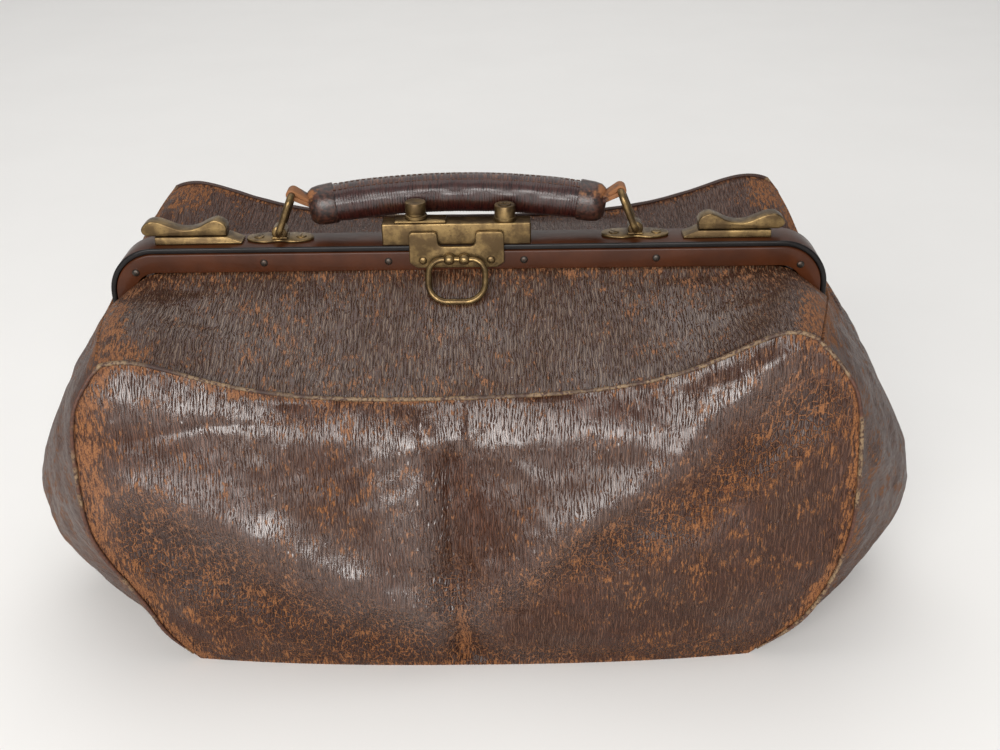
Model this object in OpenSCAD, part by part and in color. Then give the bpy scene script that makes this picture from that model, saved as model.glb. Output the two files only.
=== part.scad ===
// Gladstone bag: a leather bag on a hinged two-jaw frame, with a lock, two
// catches, a drop ring and a rolled handle. Millimetres, +X along the frame,
// the front faces -Y, and the origin is under the middle of the base.

/* [Frame] */
// Half of the length of the frame
frame_half = 203; // [195:1:210]
// Height of the top of the frame
frame_top = 224; // [220:1:230]
// Radius of the frame's upper corners
frame_corner = 27; // [22:1:32]
// Depth of the hinge pins below the top of the frame
hinge_drop = 46; // [42:1:50]
// Width of the frame's face strips
strip_w = 14.5; // [13:0.5:16]

/* [Leather body] */
// Thickness of the leather
leather = 2.4; // [1.8:0.2:2.8]
// Half of the length of the base
base_half = 160; // [150:1:170]
// Widest reach of the ends
end_reach = 266; // [256:1:272]
// Depth of the fold down the middle of the front and the back
fold_depth = 7; // [0:1:10]
// Height that the left front shoulder hangs below the right one
shoulder_lean = 9; // [0:1:12]
// Height of the rounded rise of the shoulders at the front, share of the full one
shoulder_rise = 1; // [0.6:0.1:1.1]
// Height of the folds of the front, share of the full one
fold_share = 1; // [0:0.1:1]

/* [Lock and catches] */
// Middle of the lock and of the handle along the frame
lock_x = -5.5; // [-10:0.5:10]
// Length of the lock case
case_l = 83; // [76:1:90]
// Height of the lock case
case_h = 12.5; // [11:0.5:14]
// Travel of the sliding button and its bolt
bolt_travel = 6; // [3:1:7]

/* [Handle] */
// Height of a handle ring between the centres of its bars
ring_h = 24; // [22:1:26]
// Lean of each ring towards the other
ring_lean = 22; // [16:1:26]
// Radius of the handle roll
grip_r = 11.7; // [11:0.1:11.9]

/* [Hidden] */
$fn = 48;

// Sheet thickness of the jaws, and where their faces stand
sheet = 1.4;
front_y = -9;
rear_y = 14;
play = 0.3;
// Rivets of the frame strips, and their bore
rivet_r = 1;
rivet_end = 16;
rivet_x = [rivet_end - frame_half, -114, -44, 32, 106, frame_half - rivet_end];
rivet_drop = 9;
corner_rivet_drop = 14;
pin_r = 2.5;
running = 0.06;

leather_brown = "#4b2f28";
paint_brown = "#55281e";
brass_colour = "#8c6e37";
steel_colour = "#77706a";
grip_colour = "#35120f";
cloth_colour = "#6d5f4d";

// Section: helpers

function mix(a, b, t) = a * (1 - t) + b * t;
function unit(a) = a / norm(a);
function smooth(t) = let (c = max(0, min(1, t))) c * c * (3 - 2 * c);

// A smooth curve through the points of a list, s from 0 to 1
function blend4(a, b, c, d, t) =
    0.5 * (2 * b + (c - a) * t + (2 * a - 5 * b + 4 * c - d) * t * t
    + (3 * b - a - 3 * c + d) * t * t * t);
function along(list, s) =
    let (n = len(list) - 1, k = max(0, min(floor(s * n), n - 1)))
    blend4(list[max(k - 1, 0)], list[k], list[k + 1], list[min(k + 2, n)], s * n - k);

// Section: the form of the leather body

// Height of the front seam at its middle, of its shoulders and of the back ones
front_seam_z = frame_top - 59;
front_shoulder_z = frame_top - 25;
back_shoulder_z = frame_top - 2;
back_seam_z = frame_top - 19;
// Side seams of the front and the back, from the base to the shoulder, right half
front_corner_line = [[base_half, -89, 0], [190, -92, 32], [206, -95, 80], [207, -96, 130],
    [201, -95, front_shoulder_z - 25], [183, -88, front_shoulder_z]];
back_corner_line = [[base_half - 2, 92, 0], [188, 96, 36], [204, 99, 88], [206, 101, 145],
    [203, 102, back_shoulder_z - 32], [190, 98, back_shoulder_z]];
// Middle of the front, of the back and of an end, from the base upward
front_middle_line = [[0, -97, 0], [0, -104, 30], [0, -107, 72], [0, -102, 110],
    [0, -91, front_seam_z - 23], [0, -79, front_seam_z]];
back_middle_line = [[0, 97, 0], [0, 103, 36], [0, 106, 85], [0, 104, 130],
    [0, 98, back_seam_z - 33], [0, 88, back_seam_z]];
end_middle_line = [[174, 0, 0], [238, 0, 13], [end_reach, 0, 50], [262, 0, 92],
    [238, 0, 140], [frame_half + 3.8, 2, frame_top - 35]];
// Edge of an upper panel, from the middle of the frame to its end, right half
front_mouth_z = frame_top - strip_w - 0.3;
back_mouth_z = frame_top - strip_w - 0.5;
front_mouth_line = [[0, -7.2, front_mouth_z], [44, -7.2, front_mouth_z], [88, -7.2, front_mouth_z],
    [130, -7.2, front_mouth_z], [frame_half - 41, -7, front_mouth_z - 0.4],
    [frame_half - 24, -8, front_mouth_z - 3.7], [frame_half - 17, -13, front_mouth_z - 11.7],
    [frame_half - 1, -14, front_mouth_z - 19.2]];
back_mouth_line = [[0, 12, back_mouth_z], [44, 12, back_mouth_z], [88, 12, back_mouth_z - 0.5],
    [130, 12, back_mouth_z - 1],
    [frame_half - 41, 11.5, back_mouth_z - 2], [frame_half - 24, 13, back_mouth_z - 5],
    [frame_half - 17, 18, back_mouth_z - 11.5], [frame_half - 1, 19, back_mouth_z - 19]];

// Lines of the front, as [x, z]: crests stand out of the leather and hollows lie in it
left_crest = [[-178, 124], [-153, 115], [-86, 80], [-17, 43]];
left_hollow = [[-172, 90], [-122, 50], [-40, 22]];
right_crest = [[158, 187], [121, 152], [99, 126], [49, 91], [2, 40]];
right_hollow = [[184, 166], [123, 114], [57, 78], [20, 52]];
valley = [[-9, 128], [-9, 100], [-8, 52], [-4, 6]];
valley_lip = [[-26, 140], [-27, 104], [-30, 54]];
seam_roll = [[-176, 168], [-130, 158], [0, 143], [88, 150], [150, 172]];
// Height, half width and line of each fold
front_folds = [[4.5, 15, left_crest], [-4.5, 14, left_hollow], [4.5, 17, right_crest],
    [-4, 16, right_hollow], [-5, 9, valley], [2, 11, valley_lip], [2.5, 12, seam_roll]];
edge_fade = 0.08;
// Rise of a shoulder above the straight run of the seam
left_rise = 8 * shoulder_rise;
right_rise = 13 * shoulder_rise;
back_rise = 9 * shoulder_rise;
// How far the left front shoulder stands out further than the right one, and how far the
// leather below it is drawn in
left_reach = 8;
left_tuck = 12;

// side is -1 for the front and 1 for the back, end is -1 for the left and 1 for the right
function side_seam(side, end, v) =
    let (p = along(side < 0 ? front_corner_line : back_corner_line, v),
        tuck = left_tuck * exp(-pow((v - 0.25) / 0.15, 2)),
        sag = side < 0 && end < 0 ? [left_reach * pow(v, 8) - tuck, shoulder_lean * v * v] : [0, 0])
    [end * (p[0] + sag[0]), p[1], p[2] - sag[1]];
function side_middle(side, v) = along(side < 0 ? front_middle_line : back_middle_line, v);
function end_middle(end, v) = let (p = along(end_middle_line, v)) [end * p[0], p[1], p[2]];

// Height of the folds of the front at the place [x, z], and their fading towards the seams
function from_line(place, line) = min([for (i = [0:len(line) - 2])
    let (way = line[i + 1] - line[i],
        t = max(0, min(1, (place - line[i]) * way / (way * way))))
    norm(place - line[i] - t * way)]);
function folds_at(place) =
    [for (f = front_folds) f[0] * exp(-pow(from_line(place, f[2]) / f[1], 2))]
    * [for (f = front_folds) fold_share];
function faded(u, v) =
    smooth((1 - abs(u)) / edge_fade) * smooth(v / edge_fade) * smooth((1 - v) / edge_fade);

// Lower panel: u from -1 to 1 along the bag, v from 0 at the base to 1 at the seam
function lower_panel(side, u, v) =
    let (a = side_seam(side, -1, v), b = side_seam(side, 1, v), m = side_middle(side, v),
        plain = mix(a, b, (u + 1) / 2) + (m - (a + b) / 2) * (1 - pow(abs(u), 2.5)),
        folds = side < 0 ? folds_at([plain[0], plain[2]]) * faded(u, v) : 0,
        middle_fold = fold_depth * exp(-pow(u / 0.12, 2)) * sin(180 * v),
        rise = side > 0 ? back_rise : u < 0 ? left_rise : right_rise)
    plain + [0, side * (folds - middle_fold), rise * sin(180 * pow(abs(u), 5)) * pow(v, 4)];

// Upper panel: v from 0 at the seam to 1 at the frame
function mouth_edge(side, u) =
    let (p = along(side < 0 ? front_mouth_line : back_mouth_line, abs(u)))
    [(u < 0 ? -1 : 1) * p[0], p[1], p[2]];
function upper_panel(side, u, v) =
    let (a = lower_panel(side, u, 1), b = mouth_edge(side, u))
    mix(a, b, v) + [0, side * 0.3, 1] * (8 * u * u - 2) * sin(180 * v);

// Gusset: w from -1 at the front seam to 1 at the back seam, v from the base upward.
// Its top edge is drawn to the ends of the upper panels, except beside the hinge.
hinge_share = 0.2;
function bowed_gusset(end, w, v) =
    let (a = side_seam(-1, end, v), b = side_seam(1, end, v), m = end_middle(end, v))
    mix(a, b, (w + 1) / 2) + (m - (a + b) / 2) * (1 - pow(abs(w), 1.35));
function gusset(end, w, v) =
    let (t = (1 - abs(w)) / (1 - hinge_share),
        pull = upper_panel(w < 0 ? -1 : 1, end, min(t, 1)) - bowed_gusset(end, w, 1))
    bowed_gusset(end, w, v) + pull * smooth((1 - t) / 0.2) * pow(v, 4);

// Outward normal of a patch f(u, v), turned by way
function normal_of(f, u, v, way) =
    let (e = 0.02, u0 = max(u - e, -1), u1 = min(u + e, 1), v0 = max(v - e, 0), v1 = min(v + e, 1))
    unit(cross(f(u1, v) - f(u0, v), f(u, v1) - f(u, v0))) * way;

// A closed sheet on the patch f(u, v), from depth near to depth far below its surface.
// The far side starts higher in v by bevel, so that two sheets can meet in a mitre.
module sheet_on(f, u_from, u_to, v_from, v_to, u_steps, v_steps, way, near, far, bevel = 0) {
    us = [for (i = [0:u_steps]) mix(u_from, u_to, i / u_steps)];
    row = v_steps + 1;
    count = (u_steps + 1) * row;
    points = [for (d = [near, far]) for (u = us) for (j = [0:v_steps])
        let (v = mix(v_from + (d > near ? bevel : 0), v_to, j / v_steps),
            p = f(u, v) - normal_of(f, u, v, way) * d)
        [p[0], p[1], max(p[2], 0)]];
    quads = concat(
        [for (i = [0:u_steps - 1]) for (j = [0:v_steps - 1])
            [i * row + j, i * row + j + 1, (i + 1) * row + j + 1, (i + 1) * row + j]],
        [for (i = [0:u_steps - 1]) for (j = [0:v_steps - 1])
            [count + (i + 1) * row + j, count + (i + 1) * row + j + 1,
            count + i * row + j + 1, count + i * row + j]],
        [for (i = [0:u_steps - 1])
            [i * row, (i + 1) * row, count + (i + 1) * row, count + i * row]],
        [for (i = [0:u_steps - 1])
            [(i + 1) * row + v_steps, i * row + v_steps, count + i * row + v_steps,
            count + (i + 1) * row + v_steps]],
        [for (j = [0:v_steps - 1])
            [j + 1, j, count + j, count + j + 1]],
        [for (j = [0:v_steps - 1])
            [u_steps * row + j, u_steps * row + j + 1, count + u_steps * row + j + 1,
            count + u_steps * row + j]]);
    triangles = [for (q = quads) for (t = [[q[0], q[1], q[2]], [q[0], q[2], q[3]]]) t];
    faces = way > 0 ? triangles : [for (t = triangles) [t[2], t[1], t[0]]];
    polyhedron(points, faces);
}

// A round cord along a list of points
module cord_on(path, r, sides) {
    n = len(path);
    rings = [for (i = [0:n - 1])
        let (t = unit(path[min(i + 1, n - 1)] - path[max(i - 1, 0)]),
            a = unit(cross(t, [0.1, 1, 0.2])), b = cross(t, a))
        for (k = [0:sides - 1]) path[i] + r * (cos(360 * k / sides) * a + sin(360 * k / sides) * b)];
    walls = [for (i = [0:n - 2]) for (k = [0:sides - 1])
        let (p = i * sides + k, q = i * sides + (k + 1) % sides)
        for (t = [[p, q, q + sides], [p, q + sides, p + sides]]) t];
    first = [for (k = [1:sides - 2]) [0, k + 1, k]];
    last = [for (k = [1:sides - 2]) (n - 1) * sides * [1, 1, 1] + [0, k, k + 1]];
    polyhedron(concat(rings, [path[0], path[n - 1]]),
        [for (t = concat(walls, first, last)) [t[2], t[1], t[0]]]);
}

// Section: leather

module leather_sheet(f, u_from, u_to, v_from, v_to, u_steps, v_steps, way, bevel = 0) {
    color(leather_brown)
    sheet_on(f, u_from, u_to, v_from, v_to, u_steps, v_steps, way, 0, leather, bevel);
}

module front_upper_panel() {
    leather_sheet(function (u, v) upper_panel(-1, u, v), -0.98, 0.98, 0.006, 1, 36, 6, 1, 0.055);
}

module front_lower_panel() {
    leather_sheet(function (u, v) lower_panel(-1, u, v), -1, 1, 0, 1, 44, 18, 1);
}

module back_upper_panel() {
    leather_sheet(function (u, v) upper_panel(1, u, v), -0.98, 0.98, 0.022, 1, 36, 6, -1, 0.12);
}

module back_lower_panel() {
    leather_sheet(function (u, v) lower_panel(1, u, v), -1, 1, 0, 1, 28, 12, -1);
}

// A gusset is two pieces of leather that meet in a seam down the middle of the end
module gusset_half(end, w_from, w_to) {
    leather_sheet(function (w, v) gusset(end, w, v), w_from, w_to, 0, 1, 8, 14, end);
}

module gusset_left_front() { gusset_half(-1, -0.974, -0.002); }
module gusset_left_back() { gusset_half(-1, 0.002, 0.974); }
module gusset_right_front() { gusset_half(1, -0.974, -0.002); }
module gusset_right_back() { gusset_half(1, 0.002, 0.974); }

// Outline of the base, a share of the way in from the lower edges of the panels
function base_outline(share) = [
    for (i = [0:12]) let (p = lower_panel(-1, -1 + i / 6, 0)) share * [p[0], p[1]],
    for (i = [1:5]) let (p = gusset(1, -1 + i / 3, 0)) share * [p[0], p[1]],
    for (i = [0:12]) let (p = lower_panel(1, 1 - i / 6, 0)) share * [p[0], p[1]],
    for (i = [1:5]) let (p = gusset(-1, 1 - i / 3, 0)) share * [p[0], p[1]]];

module bottom_panel() {
    color(leather_brown)
    linear_extrude(leather) polygon(base_outline(0.97));
}

// The stiff board that lies on the bottom leather
module base_board() {
    color(cloth_colour)
    translate([0, 0, leather])
    linear_extrude(2.4) polygon(base_outline(0.9));
}

// The lining hangs freely inside the leather, further off behind the folds of the front
cloth = 0.8;
front_lining_gap = leather + 2;
back_lining_gap = leather + 0.5;
module lining_front() {
    color(cloth_colour)
    sheet_on(function (u, v) lower_panel(-1, u, v), -0.94, 0.94, 0.06, 0.94, 36, 14, 1,
        front_lining_gap, front_lining_gap + cloth);
}

module lining_back() {
    color(cloth_colour)
    sheet_on(function (u, v) lower_panel(1, u, v), -0.94, 0.94, 0.06, 0.94, 20, 8, -1,
        back_lining_gap, back_lining_gap + cloth);
}

// Piping runs up one side seam, along the top seam and down the other side seam
piping_r = 1.6;
piping_out = 2.7;
function piping_side(side, end, v) =
    side_seam(side, end, v) + piping_out * unit([0.5 * end, side * 0.9, 0.5 * pow(v, 8)]);
function piping_top(side, u) =
    lower_panel(side, u, 1)
    + piping_out * unit([0.5 * u * pow(abs(u), 7), side * 0.8, 0.6]);
function piping_path(side) = [
    for (i = [0:15]) piping_side(side, -1, 0.04 + 0.06 * i),
    for (i = [0:28]) piping_top(side, -0.98 + 0.07 * i),
    for (i = [0:15]) piping_side(side, 1, 0.94 - 0.06 * i)];

module piping_front() { color(leather_brown) cord_on(piping_path(-1), piping_r, 8); }
module piping_back() { color(leather_brown) cord_on(piping_path(1), piping_r, 8); }

// Section: the frame

hinge_z = frame_top - hinge_drop;
leg_foot = hinge_z - 7;
// The area inside the frame's outline, drawn in by inset
module arch(inset) {
    half = frame_half - inset;
    top = frame_top - inset;
    r = frame_corner - inset;
    translate([-half, leg_foot]) square([2 * half, top - r - leg_foot]);
    translate([-half + r, leg_foot]) square([2 * (half - r), top - leg_foot]);
    for (end = [-1, 1]) translate([end * (half - r), top - r]) circle(r);
}

// A band between two insets, from y_from to y_to
module band(outer, inner, y_from, y_to) {
    translate([0, y_to, 0])
    rotate([90, 0, 0])
    linear_extrude(y_to - y_from)
    difference() {
        arch(outer);
        arch(inner);
        translate([-(frame_half - inner), leg_foot - 2]) square([2 * (frame_half - inner), 4]);
    }
}

module across_x(x, y, z, l) { translate([x, y, z]) rotate([0, 90, 0]) linear_extrude(l) children(); }
module across_y(x, y, z, l) { translate([x, y + l, z]) rotate([90, 0, 0]) linear_extrude(l) children(); }

// The outermost rivets sit lower, on the rounded corners
module at_rivets() {
    for (x = rivet_x)
        translate([x, 0, frame_top - (abs(x) < frame_half - frame_corner ? rivet_drop
            : corner_rivet_drop)]) children();
}

rim_w = 3;
nest = rim_w + play;
module rear_jaw() {
    color(paint_brown)
    difference() {
        union() {
            band(0, sheet, front_y + play, rear_y);
            band(0, rim_w, front_y + play, front_y + play + sheet);
            band(0, strip_w, rear_y - sheet, rear_y);
        }
        across_x(-frame_half - 1, 0, hinge_z, 2 * frame_half + 2) circle(pin_r + running);
        at_rivets() across_y(0, rear_y - 2, 0, 3) circle(rivet_r + running);
        at_top_fasteners() translate([0, 0, -2 * sheet]) cylinder(r = rivet_r + running, h = 3 * sheet);
    }
}

ear_r = 6.5;
module front_jaw() {
    x_in = frame_half - nest - sheet;
    color(paint_brown)
    difference() {
        union() {
            band(nest, nest + sheet, front_y, 2);
            band(nest, strip_w, front_y, front_y + sheet);
            for (end = [-1, 1])
                across_x(end > 0 ? x_in : -x_in - sheet, 0, hinge_z, sheet) circle(ear_r);
        }
        across_x(-frame_half - 1, 0, hinge_z, 2 * frame_half + 2) circle(pin_r + running);
        at_rivets() across_y(0, front_y - 1, 0, 3) circle(rivet_r + running);
        at_hasp_rivets() across_y(0, front_y - 1, 0, 3) circle(rivet_r + running);
    }
}

// A hinge pin with a flat head outside and a peened end inside
pin_head_r = 4;
pin_head_h = 0.8;
pin_peen_r = 3.1;
pin_peen_h = 1.2;
module hinge_pin(end) {
    x_in = frame_half - nest - sheet;
    color(steel_colour)
    mirror([end > 0 ? 0 : 1, 0, 0]) {
        across_x(x_in - play, 0, hinge_z, frame_half + play - x_in + play) circle(pin_r);
        across_x(frame_half + play, 0, hinge_z, pin_head_h) circle(pin_head_r);
        across_x(x_in - play - pin_peen_h, 0, hinge_z, pin_peen_h) circle(pin_peen_r);
    }
}
module hinge_pin_left() { hinge_pin(-1); }
module hinge_pin_right() { hinge_pin(1); }

// Thin strips that hold the leather against the jaws
clamp_t = 1;
leather_play = 0.6;
module front_clamp_strip() {
    y_from = front_y + sheet + leather + leather_play;
    color(steel_colour)
    difference() {
        band(nest + sheet + 1, strip_w - 1, y_from, y_from + clamp_t);
        at_rivets() across_y(0, front_y, 0, 10) circle(rivet_r + running);
        at_hasp_rivets() across_y(0, front_y, 0, 10) circle(rivet_r + running);
    }
}
module rear_clamp_strip() {
    y_to = rear_y - sheet - leather - leather_play;
    color(steel_colour)
    difference() {
        band(nest + sheet + 1, strip_w - 1, y_to - clamp_t, y_to);
        at_rivets() across_y(0, rear_y - 10, 0, 12) circle(rivet_r + running);
    }
}

// A rivet through a jaw and its strip, seen from the outside, head towards -Y
rivet_l = sheet + leather + leather_play + clamp_t;
head_r = 2.3;
head_h = 0.5;
crown_r = 1.5;
crown_h = 0.4;
peen_r = 1.6;
peen_h = 0.6;
module frame_rivet() {
    across_y(0, 0, 0, rivet_l) circle(rivet_r);
    across_y(0, -head_h, 0, head_h) circle(head_r);
    across_y(0, -head_h - crown_h, 0, crown_h) circle(crown_r);
    across_y(0, rivet_l, 0, peen_h) circle(peen_r);
}
module front_frame_rivets() {
    color(steel_colour) at_rivets() translate([0, front_y, 0]) frame_rivet();
}
module rear_frame_rivets() {
    color(steel_colour) at_rivets() translate([0, rear_y, 0]) rotate([0, 0, 180]) frame_rivet();
}

// Section: the lock

case_front = -8;
case_d = 12;
case_wall = 1.4;
case_mid_y = case_front + case_d / 2;
case_left = lock_x - case_l / 2;
button_x = lock_x - 22.5;
key_x = lock_x + 27;
case_top = frame_top + case_h;
bolt_z = frame_top + 4;
bolt_h = 5;
bolt_l = 38;
bolt_w = 7;
stem_r = 2;
// The stem's screw is thinner than the hole that it passes
screw_r = stem_r - 0.4;
key_r = 3.6;
boss_r = 6.2;
knob_r = 5.8;

lock_rivet_left = 35;
lock_rivet_right = 37;
module at_lock_rivets() {
    for (x = [-lock_rivet_left, lock_rivet_right])
        translate([lock_x + x, case_mid_y, frame_top]) children();
}

module lock_case() {
    color(brass_colour)
    difference() {
        translate([case_left, case_front, frame_top]) cube([case_l, case_d, case_h]);
        translate([case_left + 10, case_front + case_wall, frame_top - 1])
            cube([case_l - 20, case_d - 2 * case_wall, case_h + 1 - case_wall]);
        translate([button_x - stem_r - play, case_mid_y - stem_r - play, frame_top])
            cube([2 * (stem_r + play) + bolt_travel, 2 * (stem_r + play), case_h + 1]);
        translate([key_x, case_mid_y, frame_top]) cylinder(r = key_r + running, h = case_h + 1);
        at_lock_rivets() translate([0, 0, -1]) cylinder(r = rivet_r + running, h = case_h - 2);
    }
}

module lock_rivets() {
    color(brass_colour)
    at_lock_rivets() {
        translate([0, 0, -sheet - 0.8]) cylinder(r = 2, h = 0.8);
        translate([0, 0, -sheet]) cylinder(r = rivet_r, h = sheet + case_h - 4);
    }
}

// The bolt lies in the case, and the button's stem is screwed into it
module lock_bolt() {
    color(steel_colour)
    difference() {
        translate([button_x - 8, case_mid_y - bolt_w / 2, bolt_z]) cube([bolt_l, bolt_w, bolt_h]);
        translate([button_x, case_mid_y, bolt_z - 1]) cylinder(r = screw_r, h = bolt_h + 2);
    }
}

// A leaf spring under the bolt holds it at either end of its travel
spring_w = 5;
spring_t = 0.5;
spring_foot = 8;
spring_l = 23;
spring_rise = bolt_z - frame_top - play;
module bolt_spring() {
    color(steel_colour)
    translate([button_x - 6, case_mid_y + spring_w / 2, frame_top])
    rotate([90, 0, 0])
    linear_extrude(spring_w)
    polygon([[0, 0], [spring_foot, 0], [spring_l, spring_rise - spring_t],
        [spring_l, spring_rise], [spring_foot, spring_t], [0, spring_t]]);
}

base_plate_l = 29;
base_plate_w = 10.4;
base_plate_h = 1.6;
base_plate_slope = 1.5;
module slide_base() {
    color(brass_colour)
    difference() {
        translate([button_x - 12, case_mid_y + base_plate_w / 2, case_top])
        rotate([90, 0, 0])
        linear_extrude(base_plate_w)
        polygon([[0, 0], [base_plate_l, 0], [base_plate_l - base_plate_slope, base_plate_h],
            [base_plate_slope, base_plate_h]]);
        translate([button_x - stem_r - play, case_mid_y - stem_r - play, case_top - 1])
            cube([2 * (stem_r + play) + bolt_travel, 2 * (stem_r + play), base_plate_h + 2]);
    }
}

// The button: a foot, a narrow neck and the knob
button_foot = case_top + base_plate_h + play;
button_foot_h = 2;
button_neck_h = 1.2;
button_neck_r = 5.2;
button_knob_h = 6.2;
module slide_button() {
    color(brass_colour)
    translate([button_x, case_mid_y, 0]) {
        translate([0, 0, bolt_z]) cylinder(r = screw_r, h = button_foot - bolt_z);
        translate([0, 0, button_foot]) {
            cylinder(r = boss_r, h = button_foot_h);
            translate([0, 0, button_foot_h]) cylinder(r = button_neck_r, h = button_neck_h);
            translate([0, 0, button_foot_h + button_neck_h]) cylinder(r = knob_r, h = button_knob_h);
        }
    }
}

collar_h = 9;
collar_foot_h = 2.2;
module key_collar() {
    color(brass_colour)
    translate([key_x, case_mid_y, case_top])
    difference() {
        union() {
            cylinder(r = boss_r, h = collar_foot_h);
            cylinder(r = knob_r, h = collar_h);
        }
        translate([0, 0, -1]) cylinder(r = key_r + running, h = collar_h + 2);
    }
}

// The plug turns in the collar, and its slot takes the key
plug_foot = frame_top + 3;
plug_top = case_top + collar_h + 0.4;
slot_l = 5.2;
slot_w = 1.2;
slot_depth = 7;
module key_plug() {
    color(brass_colour)
    translate([key_x, case_mid_y, 0])
    difference() {
        union() {
            translate([0, 0, plug_foot]) cylinder(r = key_r, h = plug_top - plug_foot);
            translate([0, 0, plug_foot - 1]) cylinder(r = key_r - 0.4, h = 1);
        }
        translate([-slot_l / 2, -slot_w / 2, plug_top - slot_depth])
            cube([slot_l, slot_w, slot_depth + 1]);
        translate([0, 0, plug_top - slot_depth]) cylinder(r = 1, h = slot_depth + 1);
    }
}

// The hasp plate rides on the front jaw; its two ears reach back over the frame
hasp_w = 53;
hasp_y = front_y - 2;
hasp_foot = frame_top - 12.5;
hasp_ear_top = frame_top + 8.5;
hasp_t = 2;
hasp_rivet_x = 19;
hasp_rivet_drop = 8;
notch_w = 21;
// The two knuckles on the plate, and the bar of the drop ring in their bores
knuckle_x = 4.2;
knuckle_w = 5.2;
knuckle_r = 3;
bar_r = 1.5;
drop_y = hasp_y - 2.6;
drop_z = frame_top - 6.5;
module at_hasp_rivets() {
    for (x = [-hasp_rivet_x, hasp_rivet_x])
        translate([lock_x + x, 0, frame_top - hasp_rivet_drop]) children();
}
module hasp_plate() {
    ear_w = (hasp_w - notch_w) / 2;
    color(brass_colour)
    difference() {
        union() {
            translate([lock_x - hasp_w / 2, hasp_y, hasp_foot])
                cube([hasp_w, hasp_t, frame_top - hasp_foot]);
            for (end = [-1, 1])
                translate([lock_x + end * (hasp_w - ear_w) / 2 - ear_w / 2, hasp_y, frame_top])
                    cube([ear_w, hasp_t, hasp_ear_top - frame_top]);
            for (x = [-knuckle_x, knuckle_x]) translate([lock_x + x - knuckle_w / 2, 0, 0]) {
                across_x(0, drop_y, drop_z, knuckle_w) circle(knuckle_r);
                translate([0, drop_y, drop_z - 2]) cube([knuckle_w, 3, 4]);
            }
        }
        across_x(lock_x - 10, drop_y, drop_z, 20) circle(bar_r + running);
        at_hasp_rivets() across_y(0, hasp_y - 1, 0, 4) circle(rivet_r + running);
    }
}

module hasp_rivets() {
    color(brass_colour)
    at_hasp_rivets() {
        across_y(0, hasp_y, 0, hasp_t + rivet_l) circle(rivet_r);
        across_y(0, hasp_y - head_h, 0, head_h) circle(head_r);
        across_y(0, hasp_y - head_h - crown_h, 0, crown_h) circle(crown_r);
        across_y(0, hasp_y + hasp_t + rivet_l, 0, peen_h) circle(peen_r);
    }
}

// The drop ring: an oval wire that hangs from a short bar in the knuckles and
// leans out over the leather below the frame
ring_wire = 1.7;
drop_lean = 36;
drop_w = 35;
drop_h = 24;
drop_bend = 8;
drop_low_bend = 11;
drop_bar = 7.4;
module drop_ring() {
    arm = drop_w / 2 - ring_wire;
    low_z = drop_low_bend - drop_h;
    color(brass_colour)
    translate([lock_x, drop_y, drop_z]) rotate([-drop_lean, 0, 0]) {
        across_x(-drop_bar, 0, 0, 2 * drop_bar) circle(bar_r);
        for (end = [-1, 1]) {
            translate([end * drop_bar, 0, 0]) rotate([0, end * 90, 0])
                cylinder(r1 = bar_r, r2 = ring_wire, h = arm - drop_bend - drop_bar);
            translate([end * (arm - drop_bend), 0, -drop_bend]) rotate([90, 0, 0])
                rotate([0, 0, end > 0 ? 0 : 90]) rotate_extrude(angle = 90)
                translate([drop_bend, 0]) circle(ring_wire);
            translate([end * arm, 0, low_z]) cylinder(r = ring_wire, h = -drop_bend - low_z);
            translate([end * (arm - drop_low_bend), 0, low_z]) rotate([90, 0, 0])
                rotate([0, 0, end > 0 ? -90 : 180]) rotate_extrude(angle = 90)
                translate([drop_low_bend, 0]) circle(ring_wire);
        }
        across_x(drop_low_bend - arm, 0, -drop_h, 2 * (arm - drop_low_bend)) circle(ring_wire);
    }
}

// Section: the catches

catch_mid = -2.5;
catch_x = frame_half - 54.5;
catch_base_l = 49;
catch_base_h = 4.6;
catch_d = 11;
catch_y = 2.5;
catch_rivet_x = 16;
groove_w = 5;
groove_z = 1.6;
slide_l = 48.5;
slide_w = 9;
slide_start = -16.5;
crest_r = 4.8;
dip_r = 10.5;

// A catch is drawn for the right end and mirrored for the left
module catch_base() {
    z = frame_top;
    color(brass_colour)
    difference() {
        translate([catch_x - catch_base_l / 2, catch_y + catch_d / 2, z])
        rotate([90, 0, 0])
        linear_extrude(catch_d)
        polygon([[0, 0], [catch_base_l, 0], [catch_base_l, catch_base_h], [6, catch_base_h],
            [0, 1.4]]);
        translate([catch_x - catch_base_l / 2 - 1, catch_y - groove_w / 2, z + groove_z])
            cube([catch_base_l + 2, groove_w, catch_base_h]);
        at_catch_rivets() translate([0, 0, -1]) cylinder(r = rivet_r + running, h = 4);
    }
}
module at_catch_rivets() {
    for (x = [-catch_rivet_x, catch_rivet_x])
        translate([catch_x + x, catch_y, frame_top]) children();
}

// The slide's thumb piece has two rounded crests with a dip between them
module catch_slide() {
    z = frame_top + catch_base_h + play;
    x0 = catch_x + slide_start;
    color(brass_colour) {
        translate([x0, catch_y + slide_w / 2, z])
        rotate([90, 0, 0])
        linear_extrude(slide_w)
        difference() {
            union() {
                polygon([[0, 0], [slide_l - 3, 0], [slide_l - 1, 3], [0, 3]]);
                translate([0, 2]) square([slide_l - 3, 4]);
                translate([6, 4.5]) circle(crest_r);
                translate([slide_l - 6.5, 4]) circle(crest_r);
            }
            translate([23.5, 14]) circle(dip_r);
            translate([-3, -9]) square([60, 9]);
        }
        translate([x0 + 2, catch_y - groove_w / 2 + play, frame_top + groove_z + play])
            cube([slide_l - 22, groove_w - 2 * play, catch_base_h - 1.4]);
    }
}
module at_catch_end(end) {
    translate([catch_mid, 0, 0]) mirror([end > 0 ? 0 : 1, 0, 0]) children();
}
module catch_base_left() { at_catch_end(-1) catch_base(); }
module catch_base_right() { at_catch_end(1) catch_base(); }
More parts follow.
